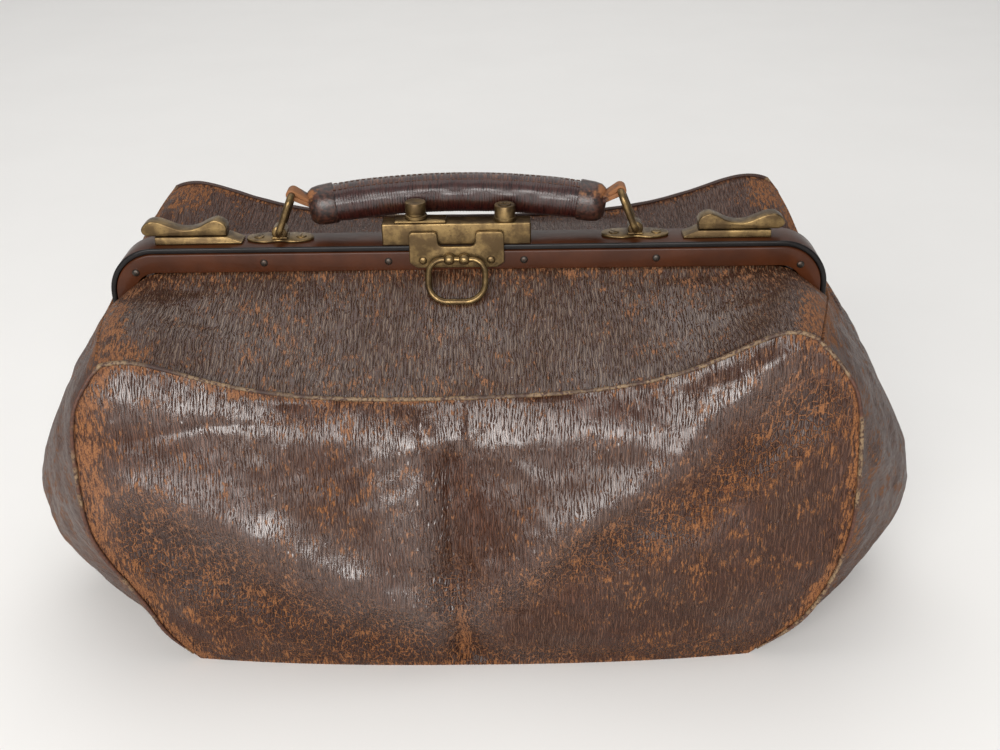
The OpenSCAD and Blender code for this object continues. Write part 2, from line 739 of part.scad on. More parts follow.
module catch_slide_left() { at_catch_end(-1) catch_slide(); }
module catch_slide_right() { at_catch_end(1) catch_slide(); }
module catch_rivets() {
    color(steel_colour)
    for (end = [-1, 1]) at_catch_end(end) at_catch_rivets() {
        translate([0, 0, -sheet]) cylinder(r = rivet_r, h = sheet + 1.4);
        translate([0, 0, -sheet - 0.8]) cylinder(r = 2, h = 0.8);
    }
}

// Section: the handle

// The feet of the two rings stand a named distance inside the catches
catch_to_ring = 48;
ring_span = 2 * (catch_x - catch_to_ring);
plate_t = 1.5;
lobe_r = 8;
lobe_x = 11;
plate_screw_x = 12;
countersink = 0.6;
handle_y = 6;
plate_y = handle_y - 1;
wire_r = 2;
bridge_r = plate_t + 2.9;
foot_z = frame_top + bridge_r;
ring_d = 20;
ring_bend = 5;

module at_handle_screws() {
    for (end = [-1, 1]) for (x = [-plate_screw_x, plate_screw_x])
        translate([lock_x + end * ring_span / 2 + x, plate_y, frame_top]) children();
}
// Every fastener that goes through the top of the rear jaw
module at_top_fasteners() {
    at_handle_screws() children();
    at_lock_rivets() children();
    for (end = [-1, 1]) at_catch_end(end) at_catch_rivets() children();
}

// A plate of two round lobes with a bridge over the ring's foot
module handle_plate(end) {
    color(brass_colour)
    translate([lock_x + end * ring_span / 2, plate_y, frame_top])
    difference() {
        union() {
            for (x = [-lobe_x, lobe_x]) translate([x, 0, 0]) cylinder(r = lobe_r, h = plate_t);
            translate([-lobe_x, -6, 0]) cube([2 * lobe_x, 12, plate_t]);
            translate([-5, -3.5, 0]) cube([10, 9, 2 * plate_t]);
            across_y(0, -3.5, bridge_r, 9) circle(bridge_r);
        }
        across_y(0, -6, bridge_r, 14) circle(wire_r + running);
        for (x = [-plate_screw_x, plate_screw_x]) translate([x, 0, 0]) {
            translate([0, 0, -1]) cylinder(r = rivet_r + running, h = 4);
            translate([0, 0, plate_t - countersink]) cylinder(r = 3, h = 2);
        }
    }
}
module handle_plate_left() { handle_plate(-1); }
module handle_plate_right() { handle_plate(1); }

nut_h = 1.2;
module handle_screws() {
    color(brass_colour)
    at_handle_screws() {
        translate([0, 0, -sheet - nut_h])
            cylinder(r = rivet_r, h = sheet + nut_h + plate_t - countersink);
        translate([0, 0, -sheet - nut_h]) cylinder(r = 2.2, h = nut_h);
        difference() {
            translate([0, 0, plate_t - countersink]) cylinder(r = 2.9, h = 1);
            rotate([0, 0, 35]) translate([-3, -0.3, plate_t]) cube([6, 0.6, 1]);
        }
    }
}

// A ring of round wire: two straight bars along Y, two arms and four bends
module wire_ring() {
    reach = ring_d / 2;
    across_y(0, -reach + ring_bend, 0, 2 * (reach - ring_bend)) circle(wire_r);
    across_y(0, -reach + ring_bend, ring_h, 2 * (reach - ring_bend)) circle(wire_r);
    for (side = [-1, 1])
        translate([0, side * reach, ring_bend]) cylinder(r = wire_r, h = ring_h - 2 * ring_bend);
    for (a = [0, 90, 180, 270]) {
        y = a < 90 || a > 180 ? reach - ring_bend : ring_bend - reach;
        z = a < 180 ? ring_h - ring_bend : ring_bend;
        translate([0, y, z]) rotate([0, 90, 0]) rotate([0, 0, 90 + a])
            rotate_extrude(angle = 90) translate([ring_bend, 0]) circle(wire_r);
    }
}
module at_ring_foot(end) {
    translate([lock_x + end * ring_span / 2, handle_y, foot_z]) children();
}
module handle_ring(end) {
    color(brass_colour) at_ring_foot(end) rotate([0, -end * ring_lean, 0]) wire_ring();
}
module handle_ring_left() { handle_ring(-1); }
module handle_ring_right() { handle_ring(1); }

// The top bars of the rings, where the handle's loops hang
loop_x = ring_span / 2 - ring_h * sin(ring_lean);
loop_z = foot_z + ring_h * cos(ring_lean);
loop_r = 5;
loop_w = 8;
// The roll is an arc that bows up and back between its ends
grip_half = loop_x - 11;
grip_drop = 10;
grip_rise = 8;
grip_tilt = 48;
grip_end_y = handle_y + 6.2;
grip_end_z = loop_z - grip_drop;
arc_r = (grip_half * grip_half + grip_rise * grip_rise) / (2 * grip_rise);
arc_half = asin(grip_half / arc_r);

// The frame of the roll's arc, with its centre of curvature as the origin
module at_arc() {
    translate([lock_x, grip_end_y, grip_end_z])
    rotate([-grip_tilt, 0, 0])
    translate([0, 0, grip_rise - arc_r])
    children();
}
module grip_arc(outer, inner) {
    at_arc()
    rotate([90, 0, 0])
    rotate([0, 0, 90 - arc_half])
    rotate_extrude(angle = 2 * arc_half, $fn = 180)
    translate([arc_r, 0])
    difference() {
        circle(outer);
        if (inner > 0) circle(inner);
    }
}
core_r = grip_r - 3;
module handle_core() { color(cloth_colour) grip_arc(core_r, 0); }
module handle_cover() { color(grip_colour) grip_arc(grip_r, core_r + running); }

// A leather loop from the end of the roll over the top bar of a ring
loop_collar = 2.5;
arm_room = 14.5;
room_l = 60;
room_w = 20;
module handle_loop(end, bore) {
    top_x = lock_x + end * loop_x;
    color(grip_colour)
    difference() {
        hull() {
            across_y(top_x, handle_y - loop_w / 2, loop_z, loop_w) circle(loop_r, $fn = 32);
            at_arc() rotate([0, end * arc_half, 0]) translate([end * 0.1, 0, arc_r])
                rotate([0, end * 90, 0]) cylinder(r = grip_r - 1, h = loop_collar, $fn = 32);
        }
        across_y(top_x, handle_y - 20, loop_z, 40) circle(bore);
        // Room for the ring's two arms
        for (side = [-1, 1])
            translate([top_x + end * 23 - room_l / 2, handle_y + side * arm_room - room_w / 2,
                loop_z - 9]) cube([room_l, room_w, room_l]);
    }
}
module handle_loop_left() { handle_loop(-1, wire_r + running); }
// The right loop is wide enough for the swing of the two rings
module handle_loop_right() { handle_loop(1, wire_r + 0.9); }

rear_jaw();
front_jaw();
hinge_pin_left();
hinge_pin_right();
front_clamp_strip();
rear_clamp_strip();
front_frame_rivets();
rear_frame_rivets();
front_upper_panel();
front_lower_panel();
back_upper_panel();
back_lower_panel();
gusset_left_front();
gusset_left_back();
gusset_right_front();
gusset_right_back();
bottom_panel();
base_board();
lining_front();
lining_back();
piping_front();
piping_back();
lock_case();
lock_rivets();
lock_bolt();
bolt_spring();
slide_base();
slide_button();
key_collar();
key_plug();
hasp_plate();
hasp_rivets();
drop_ring();
catch_base_left();
catch_base_right();
catch_slide_left();
catch_slide_right();
catch_rivets();
handle_plate_left();
handle_plate_right();
handle_screws();
handle_ring_left();
handle_ring_right();
handle_core();
handle_cover();
handle_loop_left();
handle_loop_right();
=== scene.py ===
"""Gladstone bag: its leather body, painted frame, brass fittings, handle and studio scene.

The pieces are built in millimetres in the frame of the CAD model and scaled to metres
when their meshes are made. X runs along the frame, the front faces -Y, and Z is up.
"""

import math
from types import SimpleNamespace

import bpy
import numpy as np
from mathutils import Matrix, Vector


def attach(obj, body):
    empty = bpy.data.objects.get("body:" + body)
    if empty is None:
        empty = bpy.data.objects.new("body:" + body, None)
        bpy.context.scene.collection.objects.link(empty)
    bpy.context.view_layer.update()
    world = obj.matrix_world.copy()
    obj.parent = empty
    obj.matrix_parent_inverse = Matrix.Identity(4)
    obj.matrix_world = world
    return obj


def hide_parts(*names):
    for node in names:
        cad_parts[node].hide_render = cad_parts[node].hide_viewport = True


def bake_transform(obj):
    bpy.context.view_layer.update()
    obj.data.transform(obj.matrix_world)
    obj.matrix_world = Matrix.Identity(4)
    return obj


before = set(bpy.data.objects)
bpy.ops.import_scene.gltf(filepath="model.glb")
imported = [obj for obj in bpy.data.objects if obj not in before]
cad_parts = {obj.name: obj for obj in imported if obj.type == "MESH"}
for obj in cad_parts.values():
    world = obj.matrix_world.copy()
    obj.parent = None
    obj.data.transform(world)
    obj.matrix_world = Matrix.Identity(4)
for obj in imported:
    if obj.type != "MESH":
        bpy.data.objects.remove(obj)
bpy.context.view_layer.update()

bl_info = {
    "name": "Gladstone bag",
    "version": (1, 0, 0),
    "blender": (4, 5, 0),
    "location": "View3D > Sidebar > Bag",
    "description": "Builds a worn leather gladstone bag with its frame, lock and handle",
    "category": "Add Mesh",
}

MM = 0.001

# Sides of the bag and ends of the bag
FRONT, BACK = -1, 1
LEFT, RIGHT = -1, 1
SIDE_NAMES = {FRONT: "front", BACK: "back"}
END_NAMES = {LEFT: "left", RIGHT: "right"}


# Properties


def size(default, name, description):
    """A length, given in millimetres, that the panel shows in the scene's unit."""
    return bpy.props.FloatProperty(
        name=name, description=description, unit="LENGTH", precision=4, default=default * MM)


def colour(default, name, description):
    """A linear colour that the panel shows."""
    return bpy.props.FloatVectorProperty(
        name=name, description=description, subtype="COLOR", size=4, default=(*default, 1))


class BagSizes(bpy.types.PropertyGroup):
    """Sizes of the bag, with their defaults in millimetres."""

    frame_half: size(203, "Half of the frame", "Half of the frame's width")
    frame_top: size(224, "Top of the frame", "Height of the frame's flat top")
    frame_corner: size(27, "Frame corner", "Outer radius of the frame's corners")
    strip: size(14.5, "Face strips", "Width of the jaws' face strips")
    leather: size(2.4, "Leather thickness", "Thickness of the panels and gussets")
    fold: size(7, "Middle fold", "Depth of the fold down the middle of the lower panels")
    shoulder_lean: size(9, "Left shoulder", "How far the left front shoulder droops")
    lock_x: size(-5.5, "Lock", "Place of the lock's middle along the frame")
    grip: size(11.7, "Handle roll", "Radius of the handle's roll")


class BagLooks(bpy.types.PropertyGroup):
    """Colours of the bag, linear, and the strength of its wrinkles."""

    leather_ridge: colour((0.082, 0.038, 0.021), "Ridges", "Tops of the leather's grain")
    # Partly a painted sheen: the greyer, lighter tint of the ridge tops where dust lies
    leather_dust_and_sheen: colour((0.104, 0.062, 0.038), "Dusty ridges", "Dried tops of the grain")
    leather_red: colour((0.082, 0.029, 0.013), "Red ridges", "Redder zones of the grain")
    # The valleys' dark colour is partly the leather's own and partly painted shade between the ridges
    leather_valley: colour((0.038, 0.012, 0.005), "Valleys", "Between the ridges of the grain")
    # Dark leather also carries the painted shade of the front's hollows, its middle valley and its base
    leather_dark: colour((0.022, 0.007, 0.004), "Dark leather", "Crackled zones and strands")
    leather_worn: colour((0.215, 0.086, 0.029), "Worn leather", "Bare leather where it is rubbed")
    leather_frayed: colour((0.075, 0.024, 0.010), "Frayed leather", "Fuzz of the bare leather")
    paint: colour((0.037, 0.010, 0.003), "Paint", "Enamel of the jaws")
    # The black rim is a painted shade along the front edge of the fixed jaw
    rim: colour((0.006, 0.005, 0.005), "Rim", "Black rim of the fixed jaw")
    brass: colour((0.225, 0.150, 0.064), "Brass", "Lock, catches, plates and rings")
    patina: colour((0.090, 0.058, 0.028), "Patina", "Brown patches on the brass")
    steel: colour((0.050, 0.042, 0.036), "Steel", "Rivets, pins and strips")
    grip: colour((0.030, 0.006, 0.004), "Handle", "Polished leather of the roll")
    cloth: colour((0.230, 0.180, 0.115), "Lining", "Drill inside the bag")
    wrinkle: bpy.props.FloatProperty(
        name="Wrinkles", description="Strength of the small folds, 1 as on the real bag", default=1)


def sizes():
    """The sizes set on the scene, in millimetres."""
    group = bpy.context.scene.bag_sizes
    return SimpleNamespace(**{name: getattr(group, name) / MM for name in group.__annotations__})


def looks():
    """The colours and the strength of the wrinkles set on the scene."""
    return bpy.context.scene.bag_looks


# Numbers and curves


def mix(a, b, t):
    """The value a share t of the way from a to b."""
    return a * (1 - t) + b * t


def smooth(t):
    """Clamped smooth step from 0 to 1."""
    t = np.clip(t, 0, 1)
    return t * t * (3 - 2 * t)


def bell(distance, width):
    """A bell curve: one at no distance, and small beyond twice the width."""
    return np.exp(-((distance / width) ** 2))


def band(distance, width):
    """One beside an edge, then falling to zero round the width from it."""
    return np.exp(-((np.abs(distance) / width) ** 4))


def unit(vectors):
    """Vectors of length one, along the last axis."""
    length = np.linalg.norm(vectors, axis=-1, keepdims=True)
    return vectors / np.maximum(length, 1e-9)


def turning(angle):
    """The matrix that turns plane places, one to a row, anticlockwise by an angle."""
    c, s = math.cos(angle), math.sin(angle)
    return np.array([[c, s], [-s, c]])


def round_rays(count):
    """Plane directions of length one, evenly round."""
    angle = np.linspace(0, 2 * math.pi, count, endpoint=False)
    return np.column_stack([np.cos(angle), np.sin(angle)])


def along(points, s):
    """Catmull-Rom curve through the points, evaluated at shares s of the way along."""
    points, s = np.asarray(points, float), np.asarray(s, float)
    last = len(points) - 1
    k = np.clip(np.floor(s * last), 0, last - 1).astype(int)
    t = (s * last - k)[..., None]
    a, b, c, d = (points[np.clip(k + step, 0, last)] for step in (-1, 0, 1, 2))
    return 0.5 * (2 * b + (c - a) * t + (2 * a - 5 * b + 4 * c - d) * t**2
                  + (3 * b - a - 3 * c + d) * t**3)


def travel(path):
    """How far along a path each of its points lies."""
    return np.concatenate([[0], np.cumsum(np.linalg.norm(np.diff(path, axis=0), axis=1))])


def lattice(i, j, seed):
    """A repeatable number between -1 and 1 for each point of a lattice."""
    x = np.sin(i * 127.1 + j * 311.7 + seed * 74.7) * 43758.5453
    return 2 * (x - np.floor(x)) - 1


def noise(x, y, seed):
    """Value noise: lattice numbers joined by smooth steps."""
    i, j = np.floor(x), np.floor(y)
    fx, fy = smooth(x - i), smooth(y - j)
    low = mix(lattice(i, j, seed), lattice(i + 1, j, seed), fx)
    high = mix(lattice(i, j + 1, seed), lattice(i + 1, j + 1, seed), fx)
    return mix(low, high, fy)


def rumple(x, y, seed):
    """Three octaves of noise, each twice as fine and half as strong as the one before."""
    return sum(noise(x * 2**k, y * 2**k, seed + k) / 2**k for k in range(3))


def crease(x, z, points, width):
    """A soft line through the points: the bell curve of the distance to the nearest segment."""
    nearest = np.full(np.shape(x), 1e9)
    for (x0, z0), (x1, z1) in zip(points[:-1], points[1:]):
        dx, dz = x1 - x0, z1 - z0
        t = np.clip(((x - x0) * dx + (z - z0) * dz) / max(dx * dx + dz * dz, 1e-9), 0, 1)
        nearest = np.minimum(nearest, np.hypot(x - x0 - t * dx, z - z0 - t * dz))
    return bell(nearest, width)


def creases(x, z, rows):
    """Soft lines from a table of (height, half width, line)."""
    return [height * crease(x, z, line, width) for height, width, line in rows]


def strongest(*values):
    """The largest of several values at each point."""
    return np.maximum.reduce(values)


def bands(wander, *rows):
    """The strongest of several bands of (height, distance, width), whose widths wander."""
    return strongest(*(height * band(distance, width * wander) for height, distance, width in rows))


# Meshes: a mesh is a pair of points in millimetres and faces

SHARP_EDGE = math.radians(38)
UV_UNIT = 100


def finish(name):
    """The material that this script made; the CAD model brings plain ones with other names."""
    return bpy.data.materials[name + "_finish"]


def add_object(name, mesh, material, body=None, node=None):
    """Makes an object that rides a body and stands for a CAD node; its one slot holds the given material."""
    points, faces = mesh
    data = bpy.data.meshes.new(name)
    data.from_pydata((np.asarray(points, float) * MM).tolist(), [], faces)
    data.validate()
    data.polygons.foreach_set("use_smooth", [True] * len(data.polygons))
    data.set_sharp_from_angle(angle=SHARP_EDGE)
    data.materials.append(finish(material))
    piece = bpy.data.objects.new(name, data)
    bpy.context.scene.collection.objects.link(piece)
    if node:
        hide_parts(node)
    if body:
        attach(piece, body)
    return piece


def brass(node, mesh, body="bag"):
    """A brass piece that stands for a CAD node."""
    return add_object(node + "_brass", mesh, "brass", body, node)


def set_share(piece, name, values):
    """Stores a share from 0 to 1 for each point, such as its wear, that a material reads."""
    attribute = piece.data.attributes.new(name, "FLOAT", "POINT")
    attribute.data.foreach_set("value", np.clip(values, 0, 1).astype(np.float32).ravel())


def set_uv(piece, places):
    """Stores one texture place for each point, from millimetres to units of 100 mm."""
    corners = np.zeros(len(piece.data.loops), np.int32)
    piece.data.loops.foreach_get("vertex_index", corners)
    layer = piece.data.uv_layers.new(name="UVMap")
    layer.data.foreach_set("uv", (places[corners] / UV_UNIT).astype(np.float32).ravel())


def grid_of(u_from, u_to, v_from, v_to, u_steps, v_steps):
    """Two arrays with the parameters of every point of a grid."""
    u = np.linspace(u_from, u_to, u_steps + 1)
    v = np.linspace(v_from, v_to, v_steps + 1)
    return np.meshgrid(u, v, indexing="ij")


def outward_of(grid, way):
    """Unit normals of a grid of points, turned outward by way."""
    return way * unit(np.cross(np.gradient(grid, axis=0), np.gradient(grid, axis=1)))


def raised(points, way, height):
    """A grid moved outward by a height at each point."""
    return points + outward_of(points, way) * height[..., None]


def grid_uv(grid):
    """Texture places of a grid: its mean length along each direction, or x itself where the grid runs
    along the bag, so that the grain of every panel stays upright."""
    du = np.linalg.norm(np.diff(grid, axis=0), axis=-1).mean(axis=1)
    dv = np.linalg.norm(np.diff(grid, axis=1), axis=-1).mean(axis=0)
    u, v = np.meshgrid(np.append(0, np.cumsum(du)), np.append(0, np.cumsum(dv)), indexing="ij")
    if np.ptp(grid[..., 0]) > np.ptp(grid[..., 1]) * 1.5:
        u = grid[..., 0]
    return np.stack([u, v], axis=-1)


def shell(name, node, outer, way, shares, body="bag", material="bag_leather", thickness=None, gap=0.0,
          grain_turn=0.0):
    """A closed sheet: a grid of points, the same grid drawn in by the thickness, and a wall round both.
    The grain of its leather may be turned in the plane of the sheet, in radians."""
    normal = outward_of(outer, way)
    near = outer - normal * gap
    far = outer - normal * (gap + (thickness or sizes().leather))
    for face in (near, far):
        face[..., 2] = np.maximum(face[..., 2], 0)
    rows, cols = outer.shape[:2]
    count = rows * cols
    index = np.arange(count).reshape(rows, cols)
    quads = np.stack([index[:-1, :-1], index[1:, :-1], index[1:, 1:], index[:-1, 1:]], -1).reshape(-1, 4)
    rim = np.concatenate([index[0, :], index[1:, -1], index[-1, -2::-1], index[-2:0:-1, 0]])
    after = np.roll(rim, -1)
    walls = np.stack([rim, after, after + count, rim + count], -1)
    faces = np.concatenate([quads, quads[:, ::-1] + count, walls])
    if way < 0:
        faces = faces[:, ::-1]
    points = np.concatenate([near.reshape(-1, 3), far.reshape(-1, 3)])
    piece = add_object(name, (points, faces.tolist()), material, body, node)
    set_uv(piece, np.tile(grid_uv(outer).reshape(-1, 2) @ turning(grain_turn), (2, 1)))
    for share, values in shares.items():
        set_share(piece, share, np.tile(values.ravel(), 2))
    return piece


def joined_rings(rings, closed=False):
    """The mesh of a tube made of rings of points; an open tube gets two end faces."""
    count, sides = rings.shape[:2]
    index = np.arange(count * sides).reshape(count, sides)
    after = np.roll(index, -1, axis=1)
    quads = np.stack([index, after, np.roll(after, -1, axis=0), np.roll(index, -1, axis=0)], -1)
    if closed:
        return rings.reshape(-1, 3), quads.reshape(-1, 4).tolist()
    faces = quads[:-1].reshape(-1, 4).tolist()
    return rings.reshape(-1, 3), faces + [index[0, ::-1].tolist(), index[-1].tolist()]


def gathered(meshes):
    """Several meshes as one."""
    points, faces, offset = [], [], 0
    for part_points, part_faces in meshes:
        points.append(part_points)
        faces += [[corner + offset for corner in face] for face in part_faces]
        offset += len(part_points)
    return np.concatenate(points), faces


def tube_rings(path, radius, sides, closed=False):
    """Rings of points round a path; the cross-section is carried along without twisting."""
    path = np.asarray(path, float)
    if closed:
        ahead = np.roll(path, -1, axis=0) - np.roll(path, 1, axis=0)
    else:
        ahead = np.gradient(path, axis=0)
    side = unit(np.cross(unit(ahead[0]), np.array([0.13, 0.31, 1.0])))
    radius = np.broadcast_to(np.asarray(radius, float), (len(path), sides))
    rings = np.zeros((len(path), sides, 3))
    for k, tangent in enumerate(unit(ahead)):
        side = unit(side - np.dot(side, tangent) * tangent)
        spoke = round_rays(sides) @ np.array([side, np.cross(tangent, side)])
        rings[k] = path[k] + radius[k][:, None] * spoke
    return rings


def tube(path, radius, sides=18, closed=False):
    """A round wire or roll along a path."""
    return joined_rings(tube_rings(path, radius, sides, closed), closed)


def turned(profile, origin, axis=(0, 0, 1), sides=40, side=None, bored=False):
    """A turned piece: pairs of (radius, height) spun round an axis. The profile of a bored piece is
    a closed loop that runs up the bore and down the outside."""
    axis = unit(np.asarray(axis, float))
    side = unit(np.cross(axis, [0.3, 1.0, 0.2])) if side is None else np.asarray(side, float)
    spoke = round_rays(sides) @ np.array([side, np.cross(axis, side)])
    if bored:
        profile = profile[::-1]
    rings = np.array([np.asarray(origin, float) + h * axis + r * spoke for r, h in profile])
    return joined_rings(rings, bored)


def stacked(levels, middle=(0, 0)):
    """Flat outlines of equal count round a middle, each at its height, joined into a solid."""
    rings = [np.column_stack([flat + middle, np.full(len(flat), height)]) for flat, height in levels]
    return joined_rings(np.array(rings))


def drawn_in(outline, inset):
    """A closed outline moved inward by the inset along the mitre of each corner."""
    edges = unit(np.roll(outline, -1, axis=0) - outline)
    normals = np.stack([edges[:, 1], -edges[:, 0]], -1)
    before = np.roll(normals, 1, axis=0)
    mitre = unit(before + normals)
    stretch = np.maximum((mitre * before).sum(-1, keepdims=True), 0.4)
    return outline - mitre / stretch * inset


def prism(outline, axis, start, end, bevel=0.4, steps=3):
    """An outline stretched along an axis, with both rims rounded by the bevel."""
    outline = np.asarray(outline, float)
    turns = np.linspace(0, math.pi / 2, steps + 1)
    stations = [(bevel * (1 - math.sin(t)), start + bevel * (1 - math.cos(t))) for t in turns]
    stations += [(inset, end + start - height) for inset, height in reversed(stations)]
    points, faces = stacked([(drawn_in(outline, inset), height) for inset, height in stations])
    order = {"x": [2, 0, 1], "y": [0, 2, 1], "z": [0, 1, 2]}[axis]
    if axis == "y":
        faces = [face[::-1] for face in faces]
    return points[:, order], faces


def filleted(corners, radii, steps=6):
    """A closed outline whose corners are rounded: each becomes an arc that touches both of its edges."""
    corners = np.asarray(corners, float)
    outline = []
    for k, radius in enumerate(np.broadcast_to(np.asarray(radii, float), (len(corners),))):
        corner = corners[k]
        a, b = (unit(corners[near % len(corners)] - corner) for near in (k - 1, k + 1))
        half = math.acos(np.clip(a @ b, -1, 1)) / 2
        centre = corner + unit(a + b) * radius / math.sin(half)
        first, last = (corner + way * radius / math.tan(half) - centre for way in (a, b))
        turn = math.atan2(first[0] * last[1] - first[1] * last[0], first @ last)
        outline += [centre + first @ turning(angle) for angle in np.linspace(0, turn, steps + 1)]
    return np.array(outline)


def rectangle(x0, y0, x1, y1, radius):
    """A rounded rectangle, anticlockwise."""
    return filleted([(x0, y0), (x1, y0), (x1, y1), (x0, y1)], radius)


# The form of the leather body, as in the CAD model, in millimetres

CORNERS = {
    FRONT: [(160, -89, 0), (190, -92, 32), (206, -95, 80), (207, -96, 130), (201, -95, 174),
            (183, -88, 199)],
    BACK: [(158, 92, 0), (188, 96, 36), (204, 99, 88), (206, 101, 145), (203, 102, 190),
           (190, 98, 222)],
}
MIDDLES = {
    FRONT: [(0, -97, 0), (0, -104, 30), (0, -107, 72), (0, -102, 110), (0, -91, 142), (0, -79, 165)],
    BACK: [(0, 97, 0), (0, 103, 36), (0, 106, 85), (0, 104, 130), (0, 98, 172), (0, 88, 205)],
}
END_MIDDLE = [(174, 0, 0), (238, 0, 13), (266, 0, 50), (262, 0, 92), (238, 0, 140), (206.8, 2, 189)]
MOUTHS = {
    FRONT: [(0, -7.2, 209.2), (44, -7.2, 209.2), (88, -7.2, 209.2), (130, -7.2, 209.2),
            (162, -7, 208.8), (178, -7.6, 208), (187.5, -10.6, 203.5), (203, -13.6, 192)],
    BACK: [(0, 12, 209), (44, 12, 209), (88, 12, 208.5), (130, 12, 208), (162, 11.5, 207),
           (179, 13, 204), (186, 18, 197.5), (202, 19, 190)],
}

# Lines of the front, as (x, z): crests stand out of the leather and hollows lie in it
LEFT_CREST = [(-178, 124), (-153, 115), (-86, 80), (-17, 43)]
LEFT_HOLLOW = [(-172, 90), (-122, 50), (-40, 22)]
RIGHT_CREST = [(158, 187), (121, 152), (99, 126), (49, 91), (2, 40)]
RIGHT_HOLLOW = [(184, 166), (123, 114), (57, 78), (20, 52)]
VALLEY = [(-9, 128), (-9, 100), (-8, 52), (-4, 6)]
VALLEY_LIP = [(-26, 140), (-27, 104), (-30, 54)]
SEAM_ROLL = [(-176, 168), (-130, 158), (0, 143), (88, 150), (150, 172)]
# Height, half width and line of each fold
FRONT_FOLDS = [(4.5, 15, LEFT_CREST), (-4.5, 14, LEFT_HOLLOW), (4.5, 17, RIGHT_CREST),
               (-4, 16, RIGHT_HOLLOW), (-5, 9, VALLEY), (2, 11, VALLEY_LIP), (2.5, 12, SEAM_ROLL)]
EDGE_FADE = 0.08
# Rise of a shoulder above the straight run of the seam
LEFT_RISE, RIGHT_RISE, BACK_RISE = 8, 13, 9
# How far the left front shoulder stands out further, and the leather below it is drawn in
LEFT_REACH, LEFT_TUCK = 8, 12
# The share of an end's half width that stays beside the hinge
HINGE_SHARE = 0.2


def side_seam(side, end, v):
    """The seam between a panel and a gusset; the left front one sags outward towards its top."""
    seam = along(CORNERS[side], v)
    if side == FRONT and end == LEFT:
        v = np.asarray(v)
        seam[..., 0] += LEFT_REACH * v**8 - LEFT_TUCK * bell(v - 0.25, 0.15)
        seam[..., 2] -= sizes().shoulder_lean * v**2
    seam[..., 0] *= end
    return seam


def faded(u, v, u_edge=EDGE_FADE, v_low=EDGE_FADE, v_high=EDGE_FADE):
    """One inside a panel and zero on its edges, so that panels still meet after they are folded."""
    return smooth((1 - np.abs(u)) / u_edge) * smooth(v / v_low) * smooth((1 - v) / v_high)


def bowed(near, far, middle, share, power):
    """Straight lines from a near seam to a far one, bulged to the middle line."""
    bulge = (1 - np.abs(share) ** power)[..., None]
    return mix(near, far, ((share + 1) / 2)[..., None]) + (middle - (near + far) / 2) * bulge


def lower_panel(side, u, v):
    """Straight lines between the side seams, bulged to the middle line, with raised shoulders and,
    on the front, the folds of the two lobes that droop towards the middle."""
    points = bowed(side_seam(side, LEFT, v), side_seam(side, RIGHT, v), along(MIDDLES[side], v), u, 2.5)
    outward = -sizes().fold * bell(u, 0.12) * np.sin(math.pi * v)
    rise = BACK_RISE
    if side == FRONT:
        x, z = points[..., 0], points[..., 2]
        outward = outward + sum(creases(x, z, FRONT_FOLDS)) * faded(u, v)
        rise = np.where(u < 0, LEFT_RISE, RIGHT_RISE)
    points[..., 1] += side * outward
    points[..., 2] += rise * np.sin(math.pi * np.abs(u) ** 5) * v**4
    return points


def upper_panel(side, u, v):
    """Straight lines from the top of the lower panel to the mouth, raised at the ends of the bag."""
    seam = lower_panel(side, u, np.ones_like(v))
    mouth = along(MOUTHS[side], np.abs(u))
    mouth[..., 0] *= np.where(u < 0, -1, 1)
    points = mix(seam, mouth, v[..., None])
    lift = (8 * u * u - 2) * np.sin(math.pi * v)
    points[..., 1] += side * 0.3 * lift
    points[..., 2] += lift
    return points


def bowed_gusset(end, w, v):
    """Straight lines between the front and back side seams, bulged to the middle line of the end."""
    middle = along(END_MIDDLE, v) * [end, 1, 1]
    return bowed(side_seam(FRONT, end, v), side_seam(BACK, end, v), middle, w, 1.35)


def gusset(end, w, v):
    """The bowed end, its top edge drawn to the ends of the upper panels, except beside the hinge."""
    t = (1 - np.abs(w)) / (1 - HINGE_SHARE)
    front, back = (upper_panel(side, np.full_like(w, end), np.minimum(t, 1)) for side in (FRONT, BACK))
    pull = np.where((w < 0)[..., None], front, back) - bowed_gusset(end, w, np.ones_like(w))
    return bowed_gusset(end, w, v) + pull * (smooth((1 - t) / 0.2) * v**4)[..., None]


# The leather body

CORNER_FOLD = [(-186, 70), (-150, 30), (-140, 4)]
RUBBED_SPOTS = [(-32, 132), (-34, 124), (-31, 72), (-128, 120), (-98, 112)]
# Each table below has rows of height or share, half width and line
SMALL_FOLDS = [(2.0, 6, CORNER_FOLD), (1.6, 8, LEFT_CREST), (1.3, 8, RIGHT_CREST)]
BACK_FOLDS = [(2.5, 16, [(-150, 150), (-70, 90), (-12, 40)]), (-2.5, 16, [(150, 130), (90, 80), (12, 30)])]
FRONT_WEAR = [(0.52, 18, LEFT_HOLLOW), (0.50, 18, RIGHT_HOLLOW), (0.90, 6, [(-6, 42), (-4, 4)]),
              (0.66, 8, CORNER_FOLD)] + [(0.86, 3.2, [spot, spot]) for spot in RUBBED_SPOTS]
# Crackle and painted shade: the front's dark zones lie in the hollows under the lobes, in the middle valley
# and along the base, where their darkening stands in for shade
FRONT_CRACKLE_AND_SHADE = [(1.1, 32, LEFT_HOLLOW), (0.75, 24, RIGHT_HOLLOW), (0.7, 34, [(-6, 60), (-4, 4)]),
                 (0.6, 16, [(-190, 10), (160, 8)])]
FRONT_POLISH = [(1, 26, LEFT_CREST), (0.9, 18, RIGHT_CREST), (0.9, 20, SEAM_ROLL),
                (1.1, 20, [(-32, 140), (-30, 50)])]
